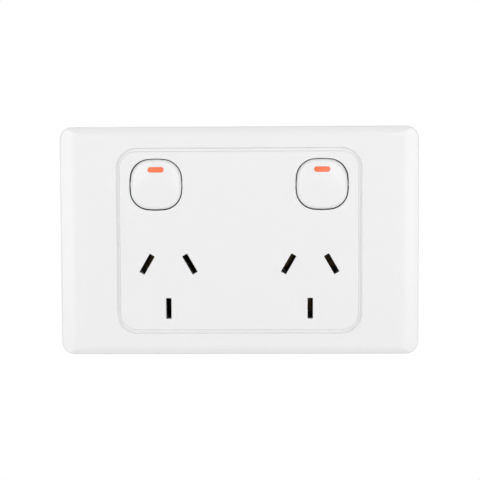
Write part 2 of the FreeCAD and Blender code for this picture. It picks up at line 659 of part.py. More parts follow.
def rocker():
    """Rocker with its top pressed in, built round its pivot."""
    level = rounded_front(squircle(0, 0, ROCKER_FRONT, ROCKER_SKIRT_DEPTH), ROCKER_EDGE_R)
    sloped = squircle(0, 0, ROCKER_FRONT * 2, ROCKER_SKIRT_DEPTH).common(crown(0))
    cap = level.common(rounded_front(sloped, ROCKER_EDGE_R))
    hollow = squircle(-ROCKER_SKIRT_WALL, -ROCKER_SKIRT_WALL, -ROCKER_CEILING, ROCKER_SKIRT_DEPTH + PAST)
    half_axle = ROCKER_W / 2 + ROCKER_GAP_X + COLLAR_WALL - PIVOT_END_PLAY
    skirt = ROCKER_W / 2 - ROCKER_SKIRT_WALL
    root = ROCKER_CEILING + JOIN
    stem = Part.makeCylinder(STEM_R, root + STEM_LENGTH, V(0, 0, -root))
    bore = Part.makeCylinder(STEM_BORE_R, STEM_LENGTH, V(0, 0, STEM_BORE_START))
    added = [along_stem(stem)]
    for end in (-1, 1):
        added.append(round_bar(PIVOT_R, V(end * skirt, 0, 0), V(end * half_axle, 0, 0)))
        added.append(block(*sorted((end * STEM_R / 2, end * (skirt + JOIN))), -root,
                           ROCKER_SKIRT_DEPTH, -ROCKER_WEB / 2, ROCKER_WEB / 2))
    body = fused([cap.cut(hollow)] + added)
    return body.cut([along_stem(bore), stadium(BAR_FIT, BAR_THICK + BAR_FIT)])


def indicator():
    """Coloured bar whose face follows the rocker's upper face."""
    return stadium(0, BAR_THICK).common(crown(0))


def plunger():
    """Guide head, spigot for the spring and round nose, built along the stem."""
    head_r = STEM_BORE_R - PLUNGER_PLAY
    head_end = PLUNGER_HEAD_START + PLUNGER_HEAD_L
    nose_centre = NOSE_TIP - NOSE_R
    pieces = [
        Part.makeCylinder(PLUNGER_SPIGOT_R, PLUNGER_SPIGOT_L + JOIN,
                          V(0, 0, PLUNGER_HEAD_START - PLUNGER_SPIGOT_L)),
        Part.makeCylinder(head_r, PLUNGER_HEAD_L, V(0, 0, PLUNGER_HEAD_START)),
        Part.makeCylinder(NOSE_R, nose_centre - head_end + JOIN, V(0, 0, head_end - JOIN)),
        Part.makeSphere(NOSE_R, V(0, 0, nose_centre)),
    ]
    return along_stem(fused(pieces))


def ring_points(radius):
    """Closed ring of points whose polygon has the same area as the circle."""
    turn = 2 * math.pi / SPRING_FLATS
    reach = radius * math.sqrt(turn / math.sin(turn))
    return [V(reach * math.cos(i * turn), 0, reach * math.sin(i * turn)) for i in range(SPRING_FLATS + 1)]


def plunger_spring():
    """Coil between the bore's blind end and the plunger's head."""
    coil_r = STEM_BORE_R - SPRING_PLAY - SPRING_WIRE_R
    start = STEM_BORE_START + SPRING_SEAT_GAP + SPRING_WIRE_R
    length = PLUNGER_HEAD_START - SPRING_SEAT_GAP - SPRING_WIRE_R - start
    steps = SPRING_TURNS * SPRING_STEPS
    lean = math.degrees(math.atan2(length, 2 * math.pi * coil_r * SPRING_TURNS))
    sections = []
    for i in range(steps + 1):
        wire = Part.makePolygon([V(coil_r + p.x, 0, p.z) for p in ring_points(SPRING_WIRE_R)])
        wire.rotate(V(0, 0, 0), V(1, 0, 0), lean)
        wire.rotate(V(0, 0, 0), V(0, 0, 1), 360 * i / SPRING_STEPS)
        sections.append(moved(wire, 0, 0, start + length * i / steps))
    return along_stem(Part.makeLoft(sections, True, True))


def lever(shape):
    """Turns a shape built on the level lever to where it lies with the switch off."""
    return turned(shape, LEVER_SWING / 2, V(0, 0, 0), V(1, 0, 0))


def contact_lever():
    """Brass strip with a trunnion at each side, which rocks in the active bar's cheeks."""
    half_t = LEVER_THICK / 2
    strip = sweep(flat(-LEVER_W / 2, LEVER_W / 2, -LEVER_DOWN, LEVER_UP, -half_t),
                  LEVER_CORNER_R, V(0, LEVER_THICK, 0))
    root, tip = LEVER_W / 2 - half_t, CHEEK_X + STRIP_THICK
    trunnions = [round_bar(TRUNNION_R, V(end * root, 0, 0), V(end * tip, 0, 0)) for end in (-1, 1)]
    return lever(fused([strip] + trunnions))


def moving_contact():
    """Domed button on the back of the lever's upper end."""
    back = LEVER_THICK / 2
    stud = post(CONTACT_R, 0, CONTACT_UP, back, back + CONTACT_DOME_R)
    dome = Part.makeSphere(CONTACT_DOME_R, V(0, DOME_CENTRE, CONTACT_UP))
    return lever(stud.common(dome))


def fixed_contact():
    """Flat silver button on the contact strip's pad."""
    return post(FIXED_CONTACT_R, 0, CLOSED_Z, FIXED_CONTACT_Y, STRIP_Y)


def strip_outline(points, width, y, thick):
    """Flat strip that follows a route of points, square-ended."""
    left, right = [], []
    for i, point in enumerate(points):
        before = points[i] - points[i - 1] if i else points[1] - points[0]
        after = points[i + 1] - points[i] if i < len(points) - 1 else before
        before, after = V(before).normalize(), V(after).normalize()
        across = V(-(before + after).z, 0, (before + after).x).normalize()
        spread = across * (width / 2 / math.cos(before.getAngle(after) / 2))
        left.append(V(point.x, y, point.z) + spread)
        right.append(V(point.x, y, point.z) - spread)
    return sweep(left + right[::-1], 0, V(0, thick, 0))


def jaw(place, base_y):
    """Folded brass jaw: a base and two leaves that close to a throat and flare at the mouth."""
    x, z, lean = place
    root = (PIN_THICK + JAW_ROOT_PLAY) / 2
    throat = (PIN_THICK - JAW_GRIP) / 2
    mouth = (PIN_THICK + JAW_FLARE) / 2
    base_w = 2 * (root + JAW_THICK + JAW_BASE_RIM)
    throat_y = JAW_FRONT + JAW_THROAT_BACK
    pieces = [slab(base_w, JAW_W, JAW_BASE_R, base_y, base_y + STRIP_THICK)]
    for end in (-1, 1):
        inner = [(root, base_y + STRIP_THICK / 2), (throat, throat_y), (mouth, JAW_FRONT)]
        outer = [(s + JAW_THICK, y) for s, y in reversed(inner)]
        section = [V(end * s, y, -JAW_W / 2) for s, y in inner + outer]
        pieces.append(sweep(section, [0, JAW_BEND_R, 0, 0, JAW_BEND_R + JAW_THICK, 0], V(0, 0, JAW_W)))
    folded = turned(fused(pieces), lean, V(0, 0, 0), V(0, 1, 0))
    return moved(folded, x, 0, z)


def active_contact(side):
    """Brass strip from the fixed contact's pad down to the jaw of the active pin."""
    x = side * SWITCH_X
    leg = x - STRIP_SIDE
    place = pin_places(side)["active"]
    pad_z = SWITCH_Z + CLOSED_Z
    route = [V(x, 0, pad_z), V(leg, 0, pad_z), V(leg, 0, place[1]), V(place[0], 0, place[1])]
    strip = strip_outline(route, STRIP_W, STRIP_Y, STRIP_THICK)
    pad = post(FIXED_CONTACT_R + PAD_RIM, x, pad_z, STRIP_Y, STRIP_Y + STRIP_THICK)
    return fused([strip, pad, jaw(place, STRIP_Y)])


def active_busbar():
    """Bar behind both switches, with a notched pair of cheeks under each lever."""
    half = SWITCH_X + CHEEK_X + STRIP_THICK
    z0, z1 = SWITCH_Z - BAR_STRIP_W / 2, SWITCH_Z + BAR_STRIP_W / 2
    pieces = [block(-half, half, ACTIVE_BAR_Y, ACTIVE_BAR_Y + STRIP_THICK, z0, z1)]
    cuts = []
    top = LEVER_DEPTH - CHEEK_LEAD
    notch_r = TRUNNION_R + TRUNNION_PLAY
    for side in SIDES.values():
        x = side * SWITCH_X
        for end in (-1, 1):
            low, high = sorted((x + end * CHEEK_X, x + end * (CHEEK_X + STRIP_THICK)))
            cheek = [V(low, top, z0), V(low, top, z1), V(low, ACTIVE_BAR_Y + STRIP_THICK, z1),
                     V(low, ACTIVE_BAR_Y + STRIP_THICK, z0)]
            pieces.append(sweep(cheek, [BAR_CORNER_R, BAR_CORNER_R, 0, 0], V(high - low, 0, 0)))
            cuts.append(round_bar(notch_r, V(low - JOIN, LEVER_DEPTH, SWITCH_Z),
                                  V(high + JOIN, LEVER_DEPTH, SWITCH_Z)))
            cuts.append(block(low - JOIN, high + JOIN, top - PAST, LEVER_DEPTH,
                              SWITCH_Z - notch_r, SWITCH_Z + notch_r))
    return fused(pieces).cut(cuts)


def cross_bar(pin):
    """Flat bar that joins the two jaws of one kind."""
    (x0, z, lean), (x1, z, lean) = pin_places(-1)[pin], pin_places(1)[pin]
    return slab(x1 - x0 + BAR_STRIP_W, BAR_STRIP_W, BAR_CORNER_R, REAR_BAR_Y,
                REAR_BAR_Y + STRIP_THICK, (x0 + x1) / 2, z)


def rear_jaw(side, pin):
    """Jaw that stands on a cross bar."""
    return jaw(pin_places(side)[pin], REAR_BAR_Y - STRIP_THICK)


def terminal(name):
    """Brass block with its wire tunnel and the threaded hole of its clamp screw."""
    x, z, mouth, front = terminal_places()[name]
    z0, z1 = sorted((z, z + mouth * TERMINAL_L))
    body = sweep(flat(x - TERMINAL_W / 2, x + TERMINAL_W / 2, z0, z1, front), TERMINAL_CORNER_R,
                 V(0, TERMINAL_D, 0))
    wire_y = front + TUNNEL_WALL + TUNNEL_R
    tunnel = round_bar(TUNNEL_R, V(x, wire_y, z0 - PAST), V(x, wire_y, z1 + PAST))
    thread = post(CLAMP_R + CLAMP_PLAY, x, (z0 + z1) / 2, wire_y, front + TERMINAL_D + PAST)
    return body.cut([tunnel, thread])


def terminal_screw(name):
    """Slotted clamp screw, backed off so that the wire tunnel is clear."""
    x, z, mouth, front = terminal_places()[name]
    middle = z + mouth * TERMINAL_L / 2
    tip = front + CLAMP_TIP
    head = tip + CLAMP_SHANK
    end = head + CLAMP_HEAD_H
    body = fused([post(CLAMP_R, x, middle, tip, head + JOIN), post(CLAMP_HEAD_R, x, middle, head, end)])
    slot = block(x - CLAMP_HEAD_R, x + CLAMP_HEAD_R, end - CLAMP_SLOT, end + PAST,
                 middle - CLAMP_SLOT / 2, middle + CLAMP_SLOT / 2)
    return body.cut(slot)


def housing_screw(x, z):
    """Cross-headed screw from the housing's rear into the front plate."""
    seat = HOUSING_DEPTH - SCREW_RECESS
    top = seat + SCREW_HEAD_H
    shank = post(SCREW_R, x, z, -SCREW_BITE, seat + JOIN)
    head = post(SCREW_HEAD_R, x, z, seat, top)
    half, arm, low = SCREW_CROSS_W / 2, SCREW_CROSS_REACH, top - SCREW_CROSS_DEPTH
    cross = [block(x - arm, x + arm, low, top + PAST, z - half, z + half),
             block(x - half, x + half, low, top + PAST, z - arm, z + arm)]
    return fused([shank, head]).cut(cross)


def build_parts():
    """Every piece by its name, each in its place."""
    parts = {
        "surround_cover": surround_cover(),
        "front_plate": front_plate(),
        "rear_housing": rear_housing(),
        "active_busbar": active_busbar(),
        "neutral_busbar": cross_bar("neutral"),
        "earth_busbar": cross_bar("earth"),
    }
    for name, side in SIDES.items():
        x = side * SWITCH_X
        at_pivot = (x, PIVOT_Y, SWITCH_Z)
        parts[f"rocker_{name}"] = moved(rocker(), *at_pivot)
        parts[f"indicator_{name}"] = moved(indicator(), *at_pivot)
        parts[f"plunger_{name}"] = moved(plunger(), *at_pivot)
        parts[f"plunger_spring_{name}"] = moved(plunger_spring(), *at_pivot)
        at_lever = (x, LEVER_DEPTH, SWITCH_Z)
        parts[f"contact_lever_{name}"] = moved(contact_lever(), *at_lever)
        parts[f"moving_contact_{name}"] = moved(moving_contact(), *at_lever)
        parts[f"fixed_contact_{name}"] = moved(fixed_contact(), x, 0, SWITCH_Z)
        parts[f"active_contact_{name}"] = active_contact(side)
        parts[f"neutral_jaw_{name}"] = rear_jaw(side, "neutral")
        parts[f"earth_jaw_{name}"] = rear_jaw(side, "earth")
    for name in terminal_places():
        parts[f"{name}_terminal"] = terminal(name)
        parts[f"{name}_terminal_screw"] = terminal_screw(name)
    for i, (x, z) in enumerate(screw_places()):
        parts[f"housing_screw_{i + 1}"] = housing_screw(x, z)
    return parts


def main():
    """Writes one STEP file for each piece."""
    os.makedirs("parts", exist_ok=True)
    for name, shape in build_parts().items():
        solids = shape.Solids
        if len(solids) == 1:
            shape = solids[0]
        print(f"{name}: {len(solids)} solid, valid {shape.isValid()}, {shape.Volume:.1f} mm3")
        shape.exportStep(f"parts/{name}.step")


main()
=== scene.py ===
# %% [markdown]
# # A double wall socket in a pale studio
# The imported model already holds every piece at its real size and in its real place: a clip-fitted
# surround, a raised panel with its pin slots, two rockers and the works behind them. This lesson
# dresses it. Flat and hidden pieces keep their own solids and get a worked-out finish. The pieces
# that catch the light, whose soft curves make the look, are computed again as fine surfaces.

# %% Load the frame
import json
import math
import bpy
import numpy as np
from mathutils import Matrix, Vector


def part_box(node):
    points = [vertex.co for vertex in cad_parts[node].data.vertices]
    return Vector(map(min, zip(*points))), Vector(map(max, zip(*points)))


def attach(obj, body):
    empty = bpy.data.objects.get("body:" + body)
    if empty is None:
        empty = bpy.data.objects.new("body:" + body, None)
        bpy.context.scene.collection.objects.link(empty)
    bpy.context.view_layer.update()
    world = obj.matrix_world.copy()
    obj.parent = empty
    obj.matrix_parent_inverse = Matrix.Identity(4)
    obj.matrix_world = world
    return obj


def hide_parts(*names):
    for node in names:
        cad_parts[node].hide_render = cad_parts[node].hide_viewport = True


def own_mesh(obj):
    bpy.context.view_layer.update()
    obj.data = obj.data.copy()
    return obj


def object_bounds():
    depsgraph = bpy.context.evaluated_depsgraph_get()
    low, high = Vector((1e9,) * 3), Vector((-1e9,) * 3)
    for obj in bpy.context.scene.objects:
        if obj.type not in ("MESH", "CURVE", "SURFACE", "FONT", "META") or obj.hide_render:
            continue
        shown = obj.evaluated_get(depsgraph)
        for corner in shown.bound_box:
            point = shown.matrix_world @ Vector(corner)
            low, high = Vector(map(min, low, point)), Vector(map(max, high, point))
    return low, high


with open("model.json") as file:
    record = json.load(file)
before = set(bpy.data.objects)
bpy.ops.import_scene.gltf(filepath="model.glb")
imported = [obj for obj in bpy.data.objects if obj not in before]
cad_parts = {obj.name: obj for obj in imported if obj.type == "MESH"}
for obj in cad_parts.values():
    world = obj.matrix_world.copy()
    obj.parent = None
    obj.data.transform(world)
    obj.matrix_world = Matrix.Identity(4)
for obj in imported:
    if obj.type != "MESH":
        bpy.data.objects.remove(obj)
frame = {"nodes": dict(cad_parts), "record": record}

MM = 0.001
cad_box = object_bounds()
nodes = frame["nodes"]
print("nodes:", len(nodes), "box in mm:", [[round(v / MM, 2) for v in corner] for corner in cad_box])

# %% [markdown]
# ## Surfaces from arrays
# Each new piece is a sheet of points on a grid. One direction follows the outline of the piece, the
# other its section, so that the soft edges get many rows and the flat stretches few. The grid is
# filled with whole-array sums and handed to the mesh at once. A sheet that closes on itself in both
# directions has no open edge. A sheet that ends in a disc is closed with one fan of triangles.

# %% A grid of points becomes a closed mesh
def grid_faces(rows, columns, wrap_rows):
    """Four-sided faces between each row and the next. The columns always close into a ring."""
    count = rows if wrap_rows else rows - 1
    this_row = np.arange(count)[:, None] * columns
    next_row = (np.arange(count) + 1)[:, None] % rows * columns
    here = np.arange(columns)[None, :]
    beside = (here + 1) % columns
    faces = [this_row + here, this_row + beside, next_row + beside, next_row + here]
    return np.stack(faces, axis=-1).reshape(-1, 4)


def fan_faces(ring, hub, turn_over):
    """Triangles from a ring of points to one hub point."""
    beside = np.roll(ring, -1)
    sides = (beside, ring) if turn_over else (ring, beside)
    return np.stack([*sides, np.full_like(ring, hub)], axis=-1)


def shell(points, wrap_rows=False):
    """Points and faces of one closed shell: the grid, and a fan at each end unless the rows close."""
    rows, columns = points.shape[:2]
    flat = points.reshape(-1, 3)
    faces = grid_faces(rows, columns, wrap_rows).tolist()
    if not wrap_rows:
        first = np.arange(columns)
        last = first + (rows - 1) * columns
        hubs = np.stack([points[0].mean(axis=0), points[-1].mean(axis=0)])
        flat = np.concatenate([flat, hubs])
        faces += fan_faces(first, len(flat) - 2, True).tolist()
        faces += fan_faces(last, len(flat) - 1, False).tolist()
    return flat, faces


def enclosed(points, faces):
    """Signed volume, by adding up the tetrahedra between each face and the origin."""
    corners = np.array([[f[0], f[i], f[i + 1]] for f in faces for i in range(1, len(f) - 1)])
    a, b, c = (points[corners[:, i]] for i in range(3))
    return float(np.einsum("ij,ij->i", a, np.cross(b, c)).sum() / 6)


SHARP_DEGREES = 40.0


def make_piece(name, shells, body, replaced=()):
    """One object from closed shells given in millimetres, each turned so that its faces point outwards."""
    all_points, all_faces, start, volume = [], [], 0, 0.0
    for points, faces in shells:
        size = enclosed(points, faces)
        if size < 0:
            faces = [face[::-1] for face in faces]
        all_points.append(points)
        all_faces += [[index + start for index in face] for face in faces]
        start += len(points)
        volume += abs(size)
    mesh = bpy.data.meshes.new(name)
    mesh.from_pydata((np.concatenate(all_points) * MM).tolist(), [], all_faces)
    mesh.shade_smooth()
    mesh.set_sharp_from_angle(angle=math.radians(SHARP_DEGREES))
    piece = bpy.data.objects.new(name, mesh)
    bpy.context.scene.collection.objects.link(piece)
    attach(piece, body)
    if replaced:
        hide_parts(*replaced)
    print(f"{name}: {len(mesh.vertices)} points, {volume:.0f} cubic mm")
    return piece


# %% [markdown]
# ## The camera
# The photograph looks at the plate from a little above and a touch from the right, through a long
# lens. Where the plate's edges, the panel's edges and the six slots lie in the picture fixes the
# distance: at 0.4 m the panel, which stands nearer than the plate's rim, comes out a little larger,
# as it does in the photograph. The camera aims a hair off the middle of the plate, by 0.1 mm across
# and 0.2 mm down, and needs no lens shift.

# %% Place the camera
CAMERA_PLACE = Vector((0.0083, -0.400, 0.0231))
CAMERA_AIM = Vector((0.0001, 0.0, -0.0002))
CAMERA_ROLL_DEGREES = 0.26
LENS = 92.07
SENSOR = 36.0
FAR_ENOUGH = 20.0

camera_data = bpy.data.cameras.new("camera")
camera_data.lens = LENS
camera_data.sensor_width = SENSOR
camera_data.clip_end = FAR_ENOUGH
camera = bpy.data.objects.new("camera", camera_data)
bpy.context.scene.collection.objects.link(camera)
aim = (CAMERA_AIM - CAMERA_PLACE).to_track_quat("-Z", "Y")
roll = Matrix.Rotation(math.radians(-CAMERA_ROLL_DEGREES), 3, "Z")
camera.rotation_mode = "QUATERNION"
camera.rotation_quaternion = (aim.to_matrix() @ roll).to_quaternion()
camera.location = CAMERA_PLACE
bpy.context.scene.camera = camera
print(f"camera {CAMERA_PLACE.length:.3f} m away, {LENS} mm lens")

# %% [markdown]
# ## Nodes with few words
# A procedural finish is a small graph of nodes. Two helpers keep the recipes short: one makes a node
# and sets or links its sockets by name, the other starts a material with its Principled shader.
# A constant goes straight on the shader's own socket. Only what changes over the surface is linked.

# %% Helpers for shader nodes
def add_node(tree, kind, settings=None, **sockets):
    """A node with its properties set, and each socket given a value or linked to another's output.

    A socket is picked by its name, or by its place in the list with i and a number."""
    made = tree.nodes.new(kind)
    for key, value in (settings or {}).items():
        setattr(made, key, value)
    for key, value in sockets.items():
        by_place = key[0] == "i" and key[1:].isdigit()
        socket = made.inputs[int(key[1:]) if by_place else key.replace("_", " ")]
        if isinstance(value, bpy.types.NodeSocket):
            tree.links.new(value, socket)
        else:
            socket.default_value = value
    return made


def new_material(name):
    """A material with an empty graph but for its output and its Principled shader."""
    material = bpy.data.materials.new(name)
    material.use_nodes = True
    tree = material.node_tree
    tree.nodes.clear()
    output = tree.nodes.new("ShaderNodeOutputMaterial")
    shader = tree.nodes.new("ShaderNodeBsdfPrincipled")
    tree.links.new(shader.outputs["BSDF"], output.inputs["Surface"])
    return material, tree, shader


def new_group(name, inputs, outputs):
    """An empty node group with named sockets, each given as (name, kind, default)."""
    group = bpy.data.node_groups.new(name, "ShaderNodeTree")
    for title, kind, default in inputs:
        socket = group.interface.new_socket(name=title, in_out="INPUT", socket_type=kind)
        socket.default_value = default
    for title, kind in outputs:
        group.interface.new_socket(name=title, in_out="OUTPUT", socket_type=kind)
    return group, group.nodes.new("NodeGroupInput"), group.nodes.new("NodeGroupOutput")


FLOAT, COLOR = "NodeSocketFloat", "NodeSocketColor"

# %% [markdown]
# ## What moulded plastic looks like
# A moulded face is never quite even. The steel that shaped it leaves a faint orange peel about a
# millimetre across, the resin cools with a slow change of tone over a few centimetres, and the polish
# varies a little, so that gloss breaks up at its rim. One shared group holds those three effects at
# their real scale. Each plastic places it with its own colour and strengths. The group also paints
# shade into the colour: the gaps round the rockers should look darker than even light makes them
# here, so the colour sinks between two depths behind the front, and is full again behind a third.

# %% The moulded skin group, with shade painted in by depth
skin, skin_in, skin_out = new_group(
    "moulded_skin_and_painted_shade",
    [("Base", COLOR, (0.8, 0.8, 0.8, 1)), ("Tone", FLOAT, 0.01), ("Gloss", FLOAT, 0.25),
     ("Gloss Spread", FLOAT, 0.05), ("Peel Scale", FLOAT, 900.0), ("Grain Scale", FLOAT, 5200.0),
     ("Grain Share", FLOAT, 0.3), ("Painted Shade From", FLOAT, 1.0), ("Painted Shade To", FLOAT, 2.0),
     ("Painted Shade Stop", FLOAT, 1.0), ("Painted Shade Level", FLOAT, 1.0)],
    [("Color", COLOR), ("Roughness", FLOAT), ("Height", FLOAT)],
)
place = add_node(skin, "ShaderNodeTexCoord").outputs["Object"]
SLOW_SCALE = 34.0
NOISE_MIDDLE = 0.5
slow = add_node(skin, "ShaderNodeTexNoise", Vector=place, Scale=SLOW_SCALE, Detail=2.0)
peel = add_node(skin, "ShaderNodeTexNoise", Vector=place, Scale=skin_in.outputs["Peel Scale"], Detail=2.0)
grain = add_node(skin, "ShaderNodeTexNoise", Vector=place, Scale=skin_in.outputs["Grain Scale"], Detail=3.0)
off_middle = add_node(skin, "ShaderNodeMath", {"operation": "SUBTRACT"}, i0=slow.outputs["Fac"],
                      i1=NOISE_MIDDLE)
swing = add_node(skin, "ShaderNodeMath", {"operation": "MULTIPLY"}, i0=off_middle.outputs[0],
                 i1=skin_in.outputs["Tone"])
level = add_node(skin, "ShaderNodeMath", {"operation": "ADD"}, i0=swing.outputs[0], i1=1.0)
# Painted shade: between two depths behind the front the colour sinks to a level, and behind a stop it is full
# again, so narrow gaps look darker as shade would make them.
depth = add_node(skin, "ShaderNodeSeparateXYZ", Vector=place).outputs["Y"]
deep = add_node(skin, "ShaderNodeMapRange", Value=depth, i1=skin_in.outputs["Painted Shade From"],
                i2=skin_in.outputs["Painted Shade To"], i3=1.0, i4=skin_in.outputs["Painted Shade Level"])
beyond = add_node(skin, "ShaderNodeMath", {"operation": "GREATER_THAN"}, i0=depth,
                  i1=skin_in.outputs["Painted Shade Stop"])
painted_shade = add_node(skin, "ShaderNodeMath", {"operation": "MAXIMUM"}, i0=deep.outputs[0], i1=beyond.outputs[0])
tone_and_painted_shade = add_node(skin, "ShaderNodeMath", {"operation": "MULTIPLY"}, i0=level.outputs[0], i1=painted_shade.outputs[0])
base_with_painted_shade = add_node(skin, "ShaderNodeVectorMath", {"operation": "SCALE"}, i0=skin_in.outputs["Base"],
                  Scale=tone_and_painted_shade.outputs[0])
gloss_swing = add_node(skin, "ShaderNodeMath", {"operation": "MULTIPLY"}, i0=off_middle.outputs[0],
                       i1=skin_in.outputs["Gloss Spread"])
gloss = add_node(skin, "ShaderNodeMath", {"operation": "ADD"}, i0=gloss_swing.outputs[0],
                 i1=skin_in.outputs["Gloss"])
height = add_node(skin, "ShaderNodeMix", {"data_type": "FLOAT"}, i0=skin_in.outputs["Grain Share"],
                  i2=peel.outputs["Fac"], i3=grain.outputs["Fac"])
skin.links.new(base_with_painted_shade.outputs[0], skin_out.inputs["Color"])
skin.links.new(gloss.outputs[0], skin_out.inputs["Roughness"])
skin.links.new(height.outputs[0], skin_out.inputs["Height"])
print("moulded_skin_and_painted_shade:", len(skin.nodes), "nodes")


# %% A plastic from the group
PLASTIC_IOR = 1.5
SUBSURFACE_MM = 0.5


def plastic(name, base, tone, gloss, gloss_spread, peel_scale, grain_scale, grain_share, relief_mm,
            subsurface=0.0, painted_shade=None):
    """Moulded plastic: the skin's colour, roughness and relief, over a plain dielectric shader.

    A painted shade is (from, to, stop, level): between the first two depths the colour sinks to the level,
    and behind the third it is full again. It is shade painted into the colour for the narrow gaps."""
    material, tree, shader = new_material(name)
    coat = add_node(tree, "ShaderNodeGroup", {"node_tree": skin}, Base=(*base, 1), Tone=tone, Gloss=gloss,
                    Gloss_Spread=gloss_spread, Peel_Scale=peel_scale, Grain_Scale=grain_scale,
                    Grain_Share=grain_share)
    # Painted shade for the gaps: its depths and level go on the group's sockets.
    if painted_shade:
        for socket, value in zip(("Painted Shade From", "Painted Shade To", "Painted Shade Stop", "Painted Shade Level"), painted_shade):
            coat.inputs[socket].default_value = value
    bump = add_node(tree, "ShaderNodeBump", Distance=relief_mm * MM, Strength=1.0,
                    Height=coat.outputs["Height"])
    tree.links.new(coat.outputs["Color"], shader.inputs["Base Color"])
    tree.links.new(coat.outputs["Roughness"], shader.inputs["Roughness"])
    tree.links.new(bump.outputs["Normal"], shader.inputs["Normal"])
    shader.inputs["IOR"].default_value = PLASTIC_IOR
    if subsurface:
        shader.inputs["Subsurface Weight"].default_value = subsurface
        shader.inputs["Subsurface Scale"].default_value = SUBSURFACE_MM * MM
    return material


# %% [markdown]
# ## What the metals look like
# The strips and jaws are stamped from rolled brass, so fine lines run along the sheet and the colour
# is a little warmer where it was handled. The screws are zinc plated: cool, with a mottled sheen.
# Both need a soft mottling and fine streaks, so a second shared group gives those. Its streaks are a
# noise drawn out along one direction by a very uneven scale.

# %% The rolled metal group
rolled, rolled_in, rolled_out = new_group(
    "rolled_metal",
    [("Bright", COLOR, (0.8, 0.8, 0.8, 1)), ("Dull", COLOR, (0.6, 0.6, 0.6, 1)),
     ("Polish", FLOAT, 0.25), ("Mottle Scale", FLOAT, 500.0)],
    [("Color", COLOR), ("Roughness", FLOAT), ("Height", FLOAT)],
)
STREAKS = (900.0, 900.0, 9000.0)
MOTTLE_LOW, MOTTLE_HIGH = 0.12, 0.42
where = add_node(rolled, "ShaderNodeTexCoord").outputs["Object"]
mottle = add_node(rolled, "ShaderNodeTexNoise", Vector=where, Scale=rolled_in.outputs["Mottle Scale"],
                  Detail=4.0, Roughness=0.6)
drawn = add_node(rolled, "ShaderNodeMapping", Vector=where, Scale=STREAKS)
streak = add_node(rolled, "ShaderNodeTexNoise", Vector=drawn.outputs[0], Scale=1.0, Detail=2.0)
blend_of_both = add_node(rolled, "ShaderNodeMath", {"operation": "MULTIPLY"}, i0=mottle.outputs["Fac"],
                         i1=streak.outputs["Fac"])
share = add_node(rolled, "ShaderNodeMapRange", Value=blend_of_both.outputs[0], i1=MOTTLE_LOW,
                 i2=MOTTLE_HIGH)
tone = add_node(rolled, "ShaderNodeMix", {"data_type": "RGBA"}, Factor=share.outputs[0],
                A=rolled_in.outputs["Bright"], B=rolled_in.outputs["Dull"])
POLISH_SWING = 0.22
polish_swing = add_node(rolled, "ShaderNodeMath", {"operation": "MULTIPLY"}, i0=share.outputs[0],
                        i1=POLISH_SWING)
polish = add_node(rolled, "ShaderNodeMath", {"operation": "ADD"}, i0=polish_swing.outputs[0],
                  i1=rolled_in.outputs["Polish"])
rolled.links.new(tone.outputs["Result"], rolled_out.inputs["Color"])
rolled.links.new(polish.outputs[0], rolled_out.inputs["Roughness"])
rolled.links.new(streak.outputs["Fac"], rolled_out.inputs["Height"])


def metal(name, bright, dull, polish_level, mottle_scale, relief_mm):
    """Sheet or plated metal: mottled colour, streaked polish and a trace of relief."""
    material, tree, shader = new_material(name)
    sheet = add_node(tree, "ShaderNodeGroup", {"node_tree": rolled}, Bright=(*bright, 1), Dull=(*dull, 1),
                     Polish=polish_level, Mottle_Scale=mottle_scale)
    bump = add_node(tree, "ShaderNodeBump", Distance=relief_mm * MM, Strength=1.0,
                    Height=sheet.outputs["Height"])
    tree.links.new(sheet.outputs["Color"], shader.inputs["Base Color"])
    tree.links.new(sheet.outputs["Roughness"], shader.inputs["Roughness"])
    tree.links.new(bump.outputs["Normal"], shader.inputs["Normal"])
    shader.inputs["Metallic"].default_value = 1.0
    return material


# %% [markdown]
# ## One finish for each material slot
# The record names nine materials. The surround, the panel and the rockers are the same white resin
# from polished moulds, the rockers a shade less glossy. The housing behind is a duller grade from a
# plain mould, and the indicator is a clear orange-red. Every imported node gets the finish of its slot,
# so nothing keeps a flat colour. Two finishes more are for the panel and the rockers' caps: the white
# of their slots, with shade painted in by depth for the gaps between them.

# %% Make the finishes and dress the imported nodes
POLISHED_WHITE = {"base": (0.86, 0.86, 0.86), "tone": 0.012, "gloss": 0.26, "gloss_spread": 0.05,
                  "peel_scale": 900, "grain_scale": 5200, "grain_share": 0.3, "relief_mm": 0.006}
ROCKER_WHITE = {"base": (0.855, 0.855, 0.855), "tone": 0.010, "gloss": 0.34, "gloss_spread": 0.04,
                "peel_scale": 1100, "grain_scale": 6000, "grain_share": 0.2, "relief_mm": 0.004}
HOUSING_WHITE = {"base": (0.80, 0.80, 0.79), "tone": 0.03, "gloss": 0.46, "gloss_spread": 0.10,
                 "peel_scale": 1300, "grain_scale": 4200, "grain_share": 0.6, "relief_mm": 0.02}
CORAL = {"base": (0.97, 0.19, 0.072), "tone": 0.04, "gloss": 0.30, "gloss_spread": 0.04,
         "peel_scale": 1500, "grain_scale": 6000, "grain_share": 0.2, "relief_mm": 0.004}
NYLON = {"base": (0.78, 0.76, 0.70), "tone": 0.05, "gloss": 0.42, "gloss_spread": 0.10,
         "peel_scale": 1600, "grain_scale": 5000, "grain_share": 0.5, "relief_mm": 0.01, "subsurface": 0.2}
# A painted shade is two depths between which the colour sinks, the depth where it stops, and its level.
PANEL_PAINTED_SHADE = (-8.4 * MM, -7.2 * MM, -3.0 * MM, 0.5)
SKIRT_PAINTED_SHADE = (-7.2 * MM, -6.4 * MM, -4.9 * MM, 0.25)

